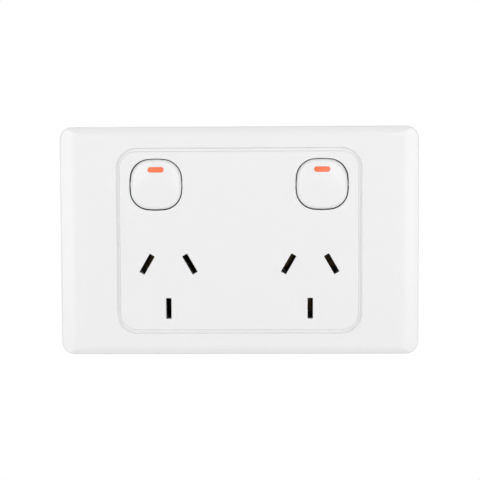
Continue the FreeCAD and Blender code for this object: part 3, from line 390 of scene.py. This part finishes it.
finishes = {
    "white_gloss": plastic("white_gloss_moulded", **POLISHED_WHITE),
    "rocker_white": plastic("rocker_white_moulded", **ROCKER_WHITE),
    "housing_white": plastic("housing_white_moulded", **HOUSING_WHITE),
    "indicator_red": plastic("indicator_red_moulded", **CORAL),
    "nylon": plastic("nylon_moulded", **NYLON),
    "spring_steel": metal("spring_steel_drawn", (0.62, 0.63, 0.65), (0.48, 0.49, 0.51), 0.24, 900, 0.002),
    # Both brass colours are darker than bare brass: partly the brass's own colour, partly painted shade, so
    # that the jaws seen deep in the slots stay dark.
    "brass": metal("brass_rolled_with_painted_shade", (0.46, 0.35, 0.19), (0.30, 0.22, 0.12), 0.42, 420, 0.003),
    "silver": metal("silver_button", (0.82, 0.81, 0.78), (0.70, 0.68, 0.64), 0.20, 900, 0.002),
    "zinc_steel": metal("zinc_steel_plated", (0.70, 0.71, 0.73), (0.55, 0.56, 0.60), 0.22, 700, 0.003),
}
slot_of = {part["node"]: part["material_slot"] for part in frame["record"]["subparts"]}
# The panel and the rockers' caps: their slots' whites with shade painted into the gaps.
panel_painted_shade_finish = plastic("panel_white_painted_shade", **POLISHED_WHITE, painted_shade=PANEL_PAINTED_SHADE)
cap_painted_shade_finish = plastic("rocker_cap_painted_shade", **ROCKER_WHITE, painted_shade=SKIRT_PAINTED_SHADE)
for name, node_object in nodes.items():
    for material_slot in node_object.material_slots:
        material_slot.material = panel_painted_shade_finish if name == "front_plate" else finishes[slot_of[name]]
print("finishes:", len(finishes), "dressed nodes:", len(nodes))


def finish(piece, slot, material=None):
    """Gives a new piece the finish of a slot, or its own one."""
    piece.data.materials.append(material or finishes[slot])


# %% [markdown]
# ## The surround
# The surround is one moulding. Its face is flat in the middle, rolls softly into a 22 degree bevel
# down each side and a shorter 30 degree bevel along the top and bottom, and ends in a small edge
# radius. The bevels meet in mitres near the corners. A sunken ledge runs round the window: its wall
# leans a little, and its floor falls towards that wall. The surround could be made from a box with
# bevels, but the soft rolls would need many loops. Here its depth is a formula of place, and the grid
# carries the section round the outline: up the wall, over the edge, across the face, down into the
# window, back under the face and down the inside, where it closes on itself.

# %% Rings of rounded rectangles
ARC_STEPS = 16
LONG_STEPS = 44
SHORT_STEPS = 30
NOTCH_W = 9.0      # screwdriver notch in the lower rim
NOTCH_EDGE = 0.01


def ring_columns(straight_x):
    """Where each column lies: its corner pair, its share of the way between them and its arc angle.

    Going round from the lower left, a straight run is a share of the way from one corner's arc to
    the next, and an arc is a turn about the corner's centre."""
    long_shares = np.linspace(0, 1, LONG_STEPS, endpoint=False)
    marks = np.array([-NOTCH_W / 2 - NOTCH_EDGE, -NOTCH_W / 2 + NOTCH_EDGE,
                      NOTCH_W / 2 - NOTCH_EDGE, NOTCH_W / 2 + NOTCH_EDGE]) / (2 * straight_x) + 0.5
    long_shares = np.unique(np.concatenate([long_shares, marks]))
    short_shares = np.linspace(0, 1, SHORT_STEPS, endpoint=False)
    arc = np.linspace(0, math.pi / 2, ARC_STEPS, endpoint=False)
    corner, share, angle = [], [], []
    for i, shares in enumerate((long_shares, short_shares, long_shares, short_shares)):
        corner += [np.full(len(shares) + len(arc), i)]
        share += [shares, np.ones(len(arc))]
        angle += [np.zeros(len(shares)), arc]
    return np.concatenate(corner), np.concatenate(share), np.concatenate(angle)


def rings(half_w, half_h, radius, columns):
    """x and z of rounded rectangles, one row for each entry of the three size arrays."""
    corner, share, angle = columns
    half_w, half_h, radius = (np.atleast_1d(v).astype(float)[:, None] for v in (half_w, half_h, radius))
    sign_x, sign_z = np.array([-1, 1, 1, -1]), np.array([-1, -1, 1, 1])
    outward = np.radians(np.array([-90, 0, 90, 180]))[corner]

    def on_arc(which, turn):
        """Points of the corners' arcs, in the directions turn from the arcs' centres."""
        x = sign_x[which] * (half_w - radius) + radius * np.cos(turn)
        z = sign_z[which] * (half_h - radius) + radius * np.sin(turn)
        return x, z

    x0, z0 = on_arc(corner, outward)
    x1, z1 = on_arc((corner + 1) % 4, outward + angle)
    return x0 + (x1 - x0) * share, z0 + (z1 - z0) * share


# %% The depth of the surround's face
cover_low, cover_high = (np.array(v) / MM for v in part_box("surround_cover"))
PLATE_HALF_W, PLATE_HALF_H = cover_high[0], cover_high[2]
COVER_FRONT, COVER_RIM = cover_low[1], cover_high[1]
CORNER_R = 4.2
COVER_WALL = 2.0
EDGE_R = 0.6
SIDE_BEVEL = (5.1, 22.0, 11.0)   # width, slope in degrees, radius of the soft roll
END_BEVEL = (2.3, 30.0, 4.5)
MITRE_POWER = 8
NOTCH_H = 1.2


def bevel_drop(distance, half, bevel):
    """How far a bevelled face has dropped: nothing, then a circle's rise, then a straight slope."""
    width, slope, roll_r = bevel[0], math.radians(bevel[1]), bevel[2]
    start = half - width - roll_r * math.tan(slope / 2)
    along = np.clip(distance - start, 0, roll_r * math.sin(slope))
    arc_drop = roll_r - np.sqrt(roll_r**2 - along**2)
    past = np.clip(distance - start - roll_r * math.sin(slope), 0, None)
    return arc_drop + past * math.tan(slope)


def face_depth(x, z, inset=0.0):
    """Depth of the surround's face. Where two bevels meet, a high-power mean gives a soft mitre."""
    side = bevel_drop(np.abs(x), PLATE_HALF_W - inset, SIDE_BEVEL)
    end = bevel_drop(np.abs(z), PLATE_HALF_H - inset, END_BEVEL)
    drop = (side**MITRE_POWER + end**MITRE_POWER) ** (1 / MITRE_POWER)
    return COVER_FRONT + inset + drop


# %% The surround's grid
PANEL_HALF_W, PANEL_HALF_H = 38.15, 28.6
WINDOW_GAP = 0.02
WINDOW_R = 5.46
LEDGE_W, LEDGE_DEPTH, LEDGE_LEAN, LEDGE_FALL = 1.15, 0.8, 0.3, 0.3
LEDGE_RADII = [0.3, 0.08, 0.1, 0.1]
FRAME_W = 3.0      # round the window, where each row runs at one distance from its edge
EDGE_ROWS, FACE_ROWS, UNDER_ROWS = 9, 70, 14
GUARD = 0.12       # from a rounded edge to the row that keeps the flat beside it flat


def rounded_path(points, radii, steps=5):
    """A path through the points whose corners are arcs, with a guard point before and after each.

    At a corner of half-angle h the arc starts r / tan(h) from the point, and its middle lies on the
    line that halves the corner."""
    path = [np.array(points[0], float)]
    for before, here, after, radius in zip(points, points[1:], points[2:], radii):
        here = np.array(here, float)
        back, on = (np.array(p, float) - here for p in (before, after))
        back, on = back / np.linalg.norm(back), on / np.linalg.norm(on)
        half = math.acos(np.clip(back @ on, -1, 1)) / 2
        run = radius / math.tan(half)
        centre = here + (back + on) / np.linalg.norm(back + on) * radius / math.sin(half)
        start = here + back * run - centre
        finish_arm = here + on * run - centre
        sweep = math.pi - 2 * half
        turn = np.linspace(0, 1, steps + 1)[:, None]
        arc = (np.sin((1 - turn) * sweep) * start + np.sin(turn * sweep) * finish_arm) / math.sin(sweep)
        path += [here + back * (run + GUARD), *(centre + arc), here + on * (run + GUARD)]
    path.append(np.array(points[-1], float))
    return np.array(path)


def cover_grid():
    """All rows of the surround's section, from its outer rim round to its inner rim."""
    columns = ring_columns(PLATE_HALF_W - CORNER_R)
    outer_x, _ = rings(PLATE_HALF_W, PLATE_HALF_H, CORNER_R, columns)
    in_notch = (columns[0] == 0) & (np.abs(outer_x[0]) < NOTCH_W / 2)
    rim = np.where(in_notch, COVER_RIM - NOTCH_H, COVER_RIM)

    def rows(half_w, half_h, radius, depth):
        """Rings of these sizes, at a depth that is given or worked out from each point's place."""
        x, z = rings(half_w, half_h, radius, columns)
        y = depth(x, z) if callable(depth) else np.broadcast_to(np.asarray(depth, float), x.shape)
        return np.stack([x, y, z], axis=-1)

    turn = np.linspace(0, math.pi / 2, EDGE_ROWS)
    drawn_in = EDGE_R * (1 - np.cos(turn))
    sunk = EDGE_R * (1 - np.sin(turn))[:, None]
    outer_wall = rows(PLATE_HALF_W, PLATE_HALF_H, CORNER_R, rim)
    guard = rows(PLATE_HALF_W, PLATE_HALF_H, CORNER_R, lambda x, z: face_depth(x, z) + EDGE_R + GUARD)
    edge = rows(PLATE_HALF_W - drawn_in, PLATE_HALF_H - drawn_in, CORNER_R - drawn_in,
                lambda x, z: face_depth(x, z) + sunk)
    hole_w, hole_h = PANEL_HALF_W + WINDOW_GAP, PANEL_HALF_H + WINDOW_GAP
    mix = np.linspace(0, 1, FACE_ROWS + 1)[1:]
    start = np.array([PLATE_HALF_W - EDGE_R, PLATE_HALF_H - EDGE_R, CORNER_R - EDGE_R])
    end = np.array([hole_w + FRAME_W, hole_h + FRAME_W, WINDOW_R + FRAME_W])
    sizes = start + (end - start) * mix[:, None]
    face = rows(*sizes.T, face_depth)
    under = COVER_FRONT + COVER_WALL
    ledge = COVER_FRONT + LEDGE_DEPTH
    section = rounded_path(
        [(FRAME_W, COVER_FRONT), (LEDGE_W, COVER_FRONT), (LEDGE_W - LEDGE_LEAN, ledge + LEDGE_FALL),
         (0, ledge), (0, under), (FRAME_W, under)], LEDGE_RADII)[1:]
    out, depth = section.T
    window = rows(hole_w + out, hole_h + out, WINDOW_R + out, depth[:, None])
    mix = np.linspace(0, 1, UNDER_ROWS + 1)[1:]
    inner = np.array([PLATE_HALF_W - COVER_WALL, PLATE_HALF_H - COVER_WALL, CORNER_R - COVER_WALL])
    sizes = end + (inner - end) * mix[:, None]
    underside = rows(*sizes.T, lambda x, z: face_depth(x, z, COVER_WALL))
    inner_wall = rows(*inner, rim)
    return np.concatenate([outer_wall, guard, edge, face, window, underside, inner_wall])


# %% The surround's hooks and the finished piece
HOOK_INSET, HOOK_W, HOOK_REACH, HOOK_THICK = 27.5, 8.0, 1.1, 1.1
HOOK_ROOT = 1.0


def prism(section, start, end):
    """A section of (y, z) points moved along x from start to end."""
    section = np.array(section, float)
    points = np.empty((2, len(section), 3))
    points[:, :, 0] = np.array([start, end])[:, None]
    points[:, :, 1:] = section
    return points


def hooks():
    """Four wedges inside the rim. Each is a four-cornered section swept along the plate's width."""
    inner = PLATE_HALF_H - COVER_WALL
    shells = []
    for x in (HOOK_INSET - PLATE_HALF_W, PLATE_HALF_W - HOOK_INSET):
        for end in (-1, 1):
            section = [(COVER_RIM, end * (inner + HOOK_ROOT)), (COVER_RIM, end * inner),
                       (COVER_RIM - HOOK_THICK, end * (inner - HOOK_REACH)),
                       (COVER_RIM - HOOK_THICK, end * (inner + HOOK_ROOT))]
            shells.append(shell(prism(section, x - HOOK_W / 2, x + HOOK_W / 2)))
    return shells


surround = make_piece("surround", [shell(cover_grid(), wrap_rows=True), *hooks()], "socket",
                      ["surround_cover"])
finish(surround, "white_gloss")

# %% [markdown]
# ## The rockers
# A rocker is a bowed square of 16 mm: its sides are flat arcs and its corners tighter ones. With the
# switch off, its lower face lies level. From a soft ridge above the middle the upper face leans back
# by ten degrees, and it is rounded from side to side, so the ridge is an arch that comes down at both
# sides. That rounding is what makes the two pale lobes in the picture. One grid makes the whole cap:
# round the pocket of the coloured bar, across the face, over the edge, down the skirt and back inside.
# The rows between the outline and the pocket follow rays from the middle of the bar. The works inside
# it, which are the stem, the axles and the webs, are a second piece, so that only the cap carries the painted
# shade.

# %% The rocker's outline
ROCKER_HALF_W = 8.15
BOW_R, TURN_R = 26.0, 6.0
BOW_STEPS, TURN_STEPS = 8, 32
rocker_low, rocker_high = (np.array(v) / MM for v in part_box("rocker_left"))
ROCKER_HALF_H = (rocker_high[2] - rocker_low[2]) / 2
pivots = {joint["child"]: np.array(joint["pos_m"]) / MM
          for joint in frame["record"]["behaviour"]["joints"] if "pos_m" in joint}
print("pivots:", {name: place.round(2).tolist() for name, place in pivots.items()})


def bowed_outline(inset):
    """x and z of the bowed square, drawn in by each inset, one row for each.

    A point is an arc's centre plus its radius along the outward normal, so drawing the outline in only
    shortens the radii. A corner's centre is equally far from the centres of the two sides' arcs."""
    side, top = ROCKER_HALF_W - BOW_R, ROCKER_HALF_H - BOW_R
    spread = math.hypot(side, top)
    climb = math.sqrt((BOW_R - TURN_R) ** 2 - (spread / 2) ** 2) / spread
    corner = (side / 2 - top * climb, top / 2 - side * climb)
    low = math.atan2(corner[1], corner[0] - side)
    high = math.atan2(corner[1] - top, corner[0])
    quarter = np.concatenate([np.linspace(0, low, BOW_STEPS, endpoint=False),
                              np.linspace(low, high, TURN_STEPS, endpoint=False),
                              np.linspace(high, math.pi / 2, BOW_STEPS, endpoint=False)])
    turn = (quarter + np.arange(4)[:, None] * math.pi / 2).ravel()
    normal = np.stack([np.cos(turn), np.sin(turn)])
    folded = np.arctan2(np.abs(normal[1]), np.abs(normal[0]))
    arc = (folded > low).astype(int) + (folded > high)
    centre = np.array([(side, 0.0), corner, (0.0, top)])[arc].T * np.sign(normal)
    radius = np.array([BOW_R, TURN_R, BOW_R])[arc] - np.atleast_1d(inset)[:, None]
    return centre[0] + radius * normal[0], centre[1] + radius * normal[1]


# %% The rocker's face and the bar's outline
TILT = math.radians(10.0)
ROCKER_FRONT = rocker_low[1] - pivots["rocker_left"][1]
CROWN_R, RIDGE_Z, RIDGE_SOFT = 34.0, 2.5, 0.2
BAR_HALF_L, BAR_R, BAR_Z, BAR_THICK, BAR_FIT = 1.715, 0.85, 4.65, 0.9, 0.03
INWARD = np.array([0.0, math.cos(TILT), -math.sin(TILT)])
NEVER_ZERO = 1e-9


def rocker_face(x, z):
    """Depth of the rocker's front, counted from its pivot.

    The crown is a long cylinder that leans back by the tilt: its depth is a circle's fall across x
    plus the slope times the height above the ridge. The face is the deeper of the level and the crown,
    and a square root rounds the ridge between them."""
    fall = CROWN_R - np.sqrt(CROWN_R**2 - x**2)
    past = (fall + (z - RIDGE_Z) * math.sin(TILT)) / math.cos(TILT)
    return ROCKER_FRONT + (past + np.sqrt(past**2 + RIDGE_SOFT**2)) / 2


def bar_outline(across, up, radius):
    """x and z of the bar's outline along unit directions from its middle, in the sloping face.

    A steep ray meets the flat side at the radius over its rise, any other one meets an end's arc."""
    flat = radius / np.maximum(np.abs(up), NEVER_ZERO)
    end = BAR_HALF_L * np.abs(across) + np.sqrt(np.maximum(radius**2 - (BAR_HALF_L * up) ** 2, 0))
    reach = np.where(flat * np.abs(across) <= BAR_HALF_L, flat, end)
    return reach * across, BAR_Z + reach * up * math.cos(TILT)


def on_face(x, z, sunk=0.0):
    """Points of the rocker's face, sunk square to its slope by one depth or by one for each row."""
    points = np.stack(np.broadcast_arrays(x, rocker_face(x, z), z), axis=-1)
    return points + np.reshape(sunk, (-1, 1, 1)) * INWARD


# %% The rocker's cap
ROCKER_EDGE_R, SKIRT_WALL, SKIRT_END, CEILING = 1.2, 1.4, 1.3, -1.5
POCKET_EDGE_R = 0.07
ROUND_ROWS, ROCKER_FACE_ROWS, POCKET_ROWS = 14, 44, 5


def rocker_cap():
    """Grid of the cap from the pocket's floor, out over the face and edge, and back up inside."""
    turn = np.linspace(math.pi / 2, 0, ROUND_ROWS)
    inset = ROCKER_EDGE_R * (1 - np.cos(turn))
    x, z = bowed_outline(inset)
    y = rocker_face(x, z) + ROCKER_EDGE_R * (1 - np.sin(turn))[:, None]
    edge = np.stack([x, y, z], axis=-1)

    out_x, out_z = x[0], z[0]
    ray = np.stack([out_x, (out_z - BAR_Z) / math.cos(TILT)])
    ray /= np.linalg.norm(ray, axis=0)
    lip = np.linspace(math.pi / 2, 0, POCKET_ROWS)[:, None]
    rim_x, rim_z = bar_outline(*ray, BAR_R + BAR_FIT + POCKET_EDGE_R * (1 - np.sin(lip)))
    rim = on_face(rim_x, rim_z, POCKET_EDGE_R * (1 - np.cos(lip[:, 0])))
    floor_x, floor_z = bar_outline(*ray, BAR_R + BAR_FIT)
    pocket = on_face(floor_x, floor_z, BAR_THICK + BAR_FIT)

    share = np.linspace(0, 1, ROCKER_FACE_ROWS + 2)[1:-1, None]
    face = on_face(rim_x[-1] + (out_x - rim_x[-1]) * share, rim_z[-1] + (out_z - rim_z[-1]) * share)
    levels = [(0, SKIRT_END), (SKIRT_WALL, SKIRT_END), (SKIRT_WALL, CEILING)]
    x, z = bowed_outline([drawn_in for drawn_in, _ in levels])
    y = np.array([[level] for _, level in levels]) + 0 * x
    skirt = np.stack([x, y, z], axis=-1)
    guard = edge[-1:] + np.array([0, GUARD, 0])
    return np.concatenate([pocket, rim, face, edge, guard, skirt])


# %% Stem, axles and webs inside the rocker
STEM_R, BORE_R, STEM_END, BORE_START, STEM_ROOT, STEM_LEAD = 2.6, 1.7, 8.6, 1.0, -2.0, 0.15
AXLE_R, AXLE_LEAD = 1.0, 0.2
WEB_HALF, WEB_FROM, WEB_JOIN = 0.6, 1.3, 0.5
LATHE_STEPS = 64
STEM_WAY = np.array([0.0, math.cos(TILT / 2), -math.sin(TILT / 2)])


def square_to(along):
    """Two unit directions at right angles to the direction along and to each other."""
    beside = np.cross(along, [0.0, 0.0, 1.0] if abs(along[2]) < 0.9 else [1.0, 0.0, 0.0])
    beside /= np.linalg.norm(beside)
    return beside, np.cross(along, beside)


def lathe(profile, along):
    """A profile of (radius, distance) carried round the direction along: each row is one circle."""
    radius, distance = np.array(profile, float).T
    along = np.array(along, float)
    beside, above = square_to(along)
    turn = np.linspace(0, 2 * math.pi, LATHE_STEPS, endpoint=False)[:, None]
    ring = np.cos(turn) * beside + np.sin(turn) * above
    return distance[:, None, None] * along + radius[:, None, None] * ring


def rocker_works():
    """Grids of the hollow stem, the two axles and the two webs."""
    stem = lathe([(STEM_R, STEM_ROOT), (STEM_R, STEM_END - STEM_LEAD), (STEM_R - STEM_LEAD, STEM_END),
                  (BORE_R + STEM_LEAD, STEM_END), (BORE_R, STEM_END - STEM_LEAD), (BORE_R, BORE_START)],
                 STEM_WAY)
    grids = [stem]
    inner, tip = ROCKER_HALF_W - SKIRT_WALL, (rocker_high[0] - rocker_low[0]) / 2
    web = [(STEM_ROOT, -WEB_HALF), (STEM_ROOT, WEB_HALF), (SKIRT_END, WEB_HALF), (SKIRT_END, -WEB_HALF)]
    for end in (-1, 1):
        grids.append(lathe([(AXLE_R, inner), (AXLE_R, tip - AXLE_LEAD), (AXLE_R - AXLE_LEAD, tip)],
                           (end, 0, 0)))
        grids.append(prism(web, end * WEB_FROM, end * (inner + WEB_JOIN)))
    return grids


for side in ("left", "right"):
    at = pivots[f"rocker_{side}"]
    cap = make_piece(f"rocker_cap_{side}", [shell(rocker_cap() + at)], f"rocker_{side}", [f"rocker_{side}"])
    # The cap's finish paints shade onto its skirt, deep in the gap round the rocker.
    finish(cap, "rocker_white", cap_painted_shade_finish)
    works = make_piece(f"rocker_works_{side}", [shell(grid + at) for grid in rocker_works()],
                       f"rocker_{side}")
    finish(works, "rocker_white")

# %% [markdown]
# ## The coloured bars
# Each bar is a drop of coral resin let flush into the rocker. It takes the rocker's own face formula
# for its front, so the two meet without a step, and a hair of rounding at its rim lets the seam show.

# %% The bars
BAR_EDGE_R = 0.06
BAR_COLUMNS, BAR_EDGE_ROWS, BAR_FACE_ROWS = 144, 5, 10


def bar_grid():
    """Grid of a bar from its back, up its side, over the rim and in across its face."""
    turn = np.linspace(0, 2 * math.pi, BAR_COLUMNS, endpoint=False)
    ray = np.cos(turn), np.sin(turn)
    back_x, back_z = bar_outline(*ray, BAR_R)
    back = on_face(back_x, back_z, BAR_THICK)
    roll = np.linspace(0, math.pi / 2, BAR_EDGE_ROWS)[:, None]
    rim_x, rim_z = bar_outline(*ray, BAR_R - BAR_EDGE_R * (1 - np.cos(roll)))
    rim = on_face(rim_x, rim_z, BAR_EDGE_R * (1 - np.sin(roll[:, 0])))
    share = np.linspace(1, 0, BAR_FACE_ROWS + 1)[1:-1, None]
    face = on_face(rim_x[-1] * share, BAR_Z + (rim_z[-1] - BAR_Z) * share)
    return np.concatenate([back, rim, face])


for side in ("left", "right"):
    bar = make_piece(f"coral_bar_{side}", [shell(bar_grid() + pivots[f"rocker_{side}"])],
                     f"rocker_{side}", [f"indicator_{side}"])
    finish(bar, "indicator_red")

# %% [markdown]
# ## The plunger springs
# In each stem a coil of drawn wire pushes the plunger out. A curve with a round bevel would make one,
# but a grid closes its ends and keeps its wire round where the coil leans. The coil rides on its rocker
# with its foot on the stem's blind end. Its shape is fixed: it does not get shorter when the plunger
# is pushed in.

# %% The springs
COIL_WIRE_R, COIL_PLAY, COIL_SEAT_GAP = 0.22, 0.12, 0.05
COIL_ROOM = 5.2            # from the stem's blind end to the plunger's head
COIL_TURNS, COIL_STEPS, WIRE_STEPS = 4, 40, 12


def coil_grid():
    """Grid of a round wire carried along a helix round the stem's line.

    The wire's middle goes round at a fixed radius while it climbs evenly. Each cross-section is a
    circle in the plane of the outward ray and of what is square to both the ray and the wire."""
    coil_r = BORE_R - COIL_PLAY - COIL_WIRE_R
    start = COIL_SEAT_GAP + COIL_WIRE_R
    climb = COIL_ROOM - 2 * start
    turn = np.linspace(0, 2 * math.pi * COIL_TURNS, COIL_TURNS * COIL_STEPS + 1)[:, None]
    beside, above = square_to(STEM_WAY)
    outward = np.cos(turn) * beside + np.sin(turn) * above
    onward = coil_r * (np.cos(turn) * above - np.sin(turn) * beside) + climb / turn[-1] * STEM_WAY
    onward /= np.linalg.norm(onward, axis=1, keepdims=True)
    middle = coil_r * outward + (BORE_START + start + climb * turn / turn[-1]) * STEM_WAY
    around = np.linspace(0, 2 * math.pi, WIRE_STEPS, endpoint=False)[None, :, None]
    circle = np.cos(around) * outward[:, None] + np.sin(around) * np.cross(outward, onward)[:, None]
    return middle[:, None] + COIL_WIRE_R * circle


for side in ("left", "right"):
    at = pivots[f"rocker_{side}"]
    coil = make_piece(f"plunger_coil_{side}", [shell(coil_grid() + at)], f"rocker_{side}",
                      [f"plunger_spring_{side}"])
    finish(coil, "spring_steel")
    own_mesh(coil)

# %% [markdown]
# ## The studio
# The picture is high-key: a white ground, almost even light, the side bevels a shade brighter than
# the face and the lower bevel a shade darker. Even light from the world gives most of it. Two tall
# lamps stand about 50 degrees to either side, so that each brightens most the bevel that faces it. Two
# small ones between and above them make the pale lobes of the rockers' crowns, and a broad one behind
# lights the back. The floor is a pale disc well below the plate. It keeps the shadow near the object,
# and towards its rim it fades for the camera into the white of the world.

# %% World, lamps and floor
WORLD_LEVEL = 0.533
LAMP_DISTANCE = 0.8
LAMPS = {   # bearing from the front and elevation in degrees, width and height in metres, watts
    "side_lamp_left": (-52.0, 0.0, 0.34, 0.60, 1.6),
    "side_lamp_right": (50.0, 0.0, 0.40, 0.60, 1.8),
    "upper_lamp_left": (-24.0, 19.0, 0.12, 0.12, 0.50),
    "upper_lamp_right": (19.0, 19.0, 0.12, 0.12, 0.55),
    "rear_lamp": (180.0, 35.0, 0.70, 0.70, 0.9),
}
FLOOR_DROP = 0.11
FLOOR_R, FLOOR_HUB_R = 1.6, 0.02
FLOOR_RINGS, FLOOR_SPOKES = 24, 96
FLOOR_COLOUR, FLOOR_ROUGHNESS = (0.86, 0.86, 0.86, 1), 0.7
FADE_FROM, FADE_TO = 0.08, 0.24


def sees_white(tree):
    """1 for the camera's, mirror and glass rays, which should meet the white ground, else 0."""
    path = tree.nodes.new("ShaderNodeLightPath").outputs
    first = add_node(tree, "ShaderNodeMath", {"operation": "MAXIMUM"}, i0=path["Is Camera Ray"],
                     i1=path["Is Glossy Ray"])
    both = add_node(tree, "ShaderNodeMath", {"operation": "MAXIMUM"}, i0=first.outputs[0],
                    i1=path["Is Transmission Ray"])
    return both.outputs[0]


world = bpy.data.worlds.new("studio")
bpy.context.scene.world = world
world.use_nodes = True
world_tree = world.node_tree
world_tree.nodes.clear()
dim = add_node(world_tree, "ShaderNodeBackground", Color=(1, 1, 1, 1), Strength=WORLD_LEVEL)
white = add_node(world_tree, "ShaderNodeBackground", Color=(1, 1, 1, 1), Strength=1.0)
pick = add_node(world_tree, "ShaderNodeMixShader", i0=sees_white(world_tree), i1=dim.outputs[0],
                i2=white.outputs[0])
add_node(world_tree, "ShaderNodeOutputWorld", Surface=pick.outputs[0])

for name, (bearing, elevation, width, height, watts) in LAMPS.items():
    lamp_data = bpy.data.lights.new(name, "AREA")
    lamp_data.shape = "RECTANGLE"
    lamp_data.size, lamp_data.size_y = width, height
    lamp_data.energy = watts
    lamp = bpy.data.objects.new(name, lamp_data)
    bpy.context.scene.collection.objects.link(lamp)
    turn, climb = math.radians(bearing), math.radians(elevation)
    way = Vector((math.sin(turn) * math.cos(climb), -math.cos(turn) * math.cos(climb), math.sin(climb)))
    lamp.location = LAMP_DISTANCE * way
    lamp.rotation_mode = "QUATERNION"
    lamp.rotation_quaternion = (-lamp.location).to_track_quat("-Z", "Y")

radius = np.linspace(FLOOR_HUB_R, FLOOR_R, FLOOR_RINGS)[:, None]
angle = np.linspace(0, 2 * math.pi, FLOOR_SPOKES, endpoint=False)[None, :]
level = np.full((FLOOR_RINGS, FLOOR_SPOKES), cad_box[0][2] - FLOOR_DROP)
disc = np.stack([radius * np.cos(angle), radius * np.sin(angle), level], axis=-1)
# The fan over the outer ring is left off, so that the floor is one sheet.
floor_points, floor_faces = shell(disc)
floor_mesh = bpy.data.meshes.new("floor")
floor_mesh.from_pydata(floor_points[:-1].tolist(), [],
                       [face for face in floor_faces if len(floor_points) - 1 not in face])
floor = bpy.data.objects.new("floor", floor_mesh)
bpy.context.scene.collection.objects.link(floor)

floor_material, floor_tree, floor_shader = new_material("floor_paint")
floor_shader.inputs["Base Color"].default_value = FLOOR_COLOUR
floor_shader.inputs["Roughness"].default_value = FLOOR_ROUGHNESS
spot = add_node(floor_tree, "ShaderNodeTexCoord").outputs["Object"]
flat_spot = add_node(floor_tree, "ShaderNodeVectorMath", {"operation": "MULTIPLY"}, i0=spot, i1=(1, 1, 0))
far = add_node(floor_tree, "ShaderNodeVectorMath", {"operation": "LENGTH"}, i0=flat_spot.outputs[0])
fade = add_node(floor_tree, "ShaderNodeMapRange", {"interpolation_type": "SMOOTHSTEP"},
                Value=far.outputs["Value"], i1=FADE_FROM, i2=FADE_TO)
amount = add_node(floor_tree, "ShaderNodeMath", {"operation": "MULTIPLY"}, i0=fade.outputs[0],
                  i1=sees_white(floor_tree))
glow = add_node(floor_tree, "ShaderNodeEmission", Color=(1, 1, 1, 1), Strength=1.0)
floor_mix = add_node(floor_tree, "ShaderNodeMixShader", i0=amount.outputs[0],
                     i1=floor_shader.outputs["BSDF"], i2=glow.outputs[0])
floor_output = next(n for n in floor_tree.nodes if n.type == "OUTPUT_MATERIAL")
floor_tree.links.new(floor_mix.outputs[0], floor_output.inputs["Surface"])
floor_mesh.materials.append(floor_material)
print("lamps:", len(LAMPS), "floor radius in m:", FLOOR_R)

bpy.context.scene.view_settings.view_transform = "Standard"
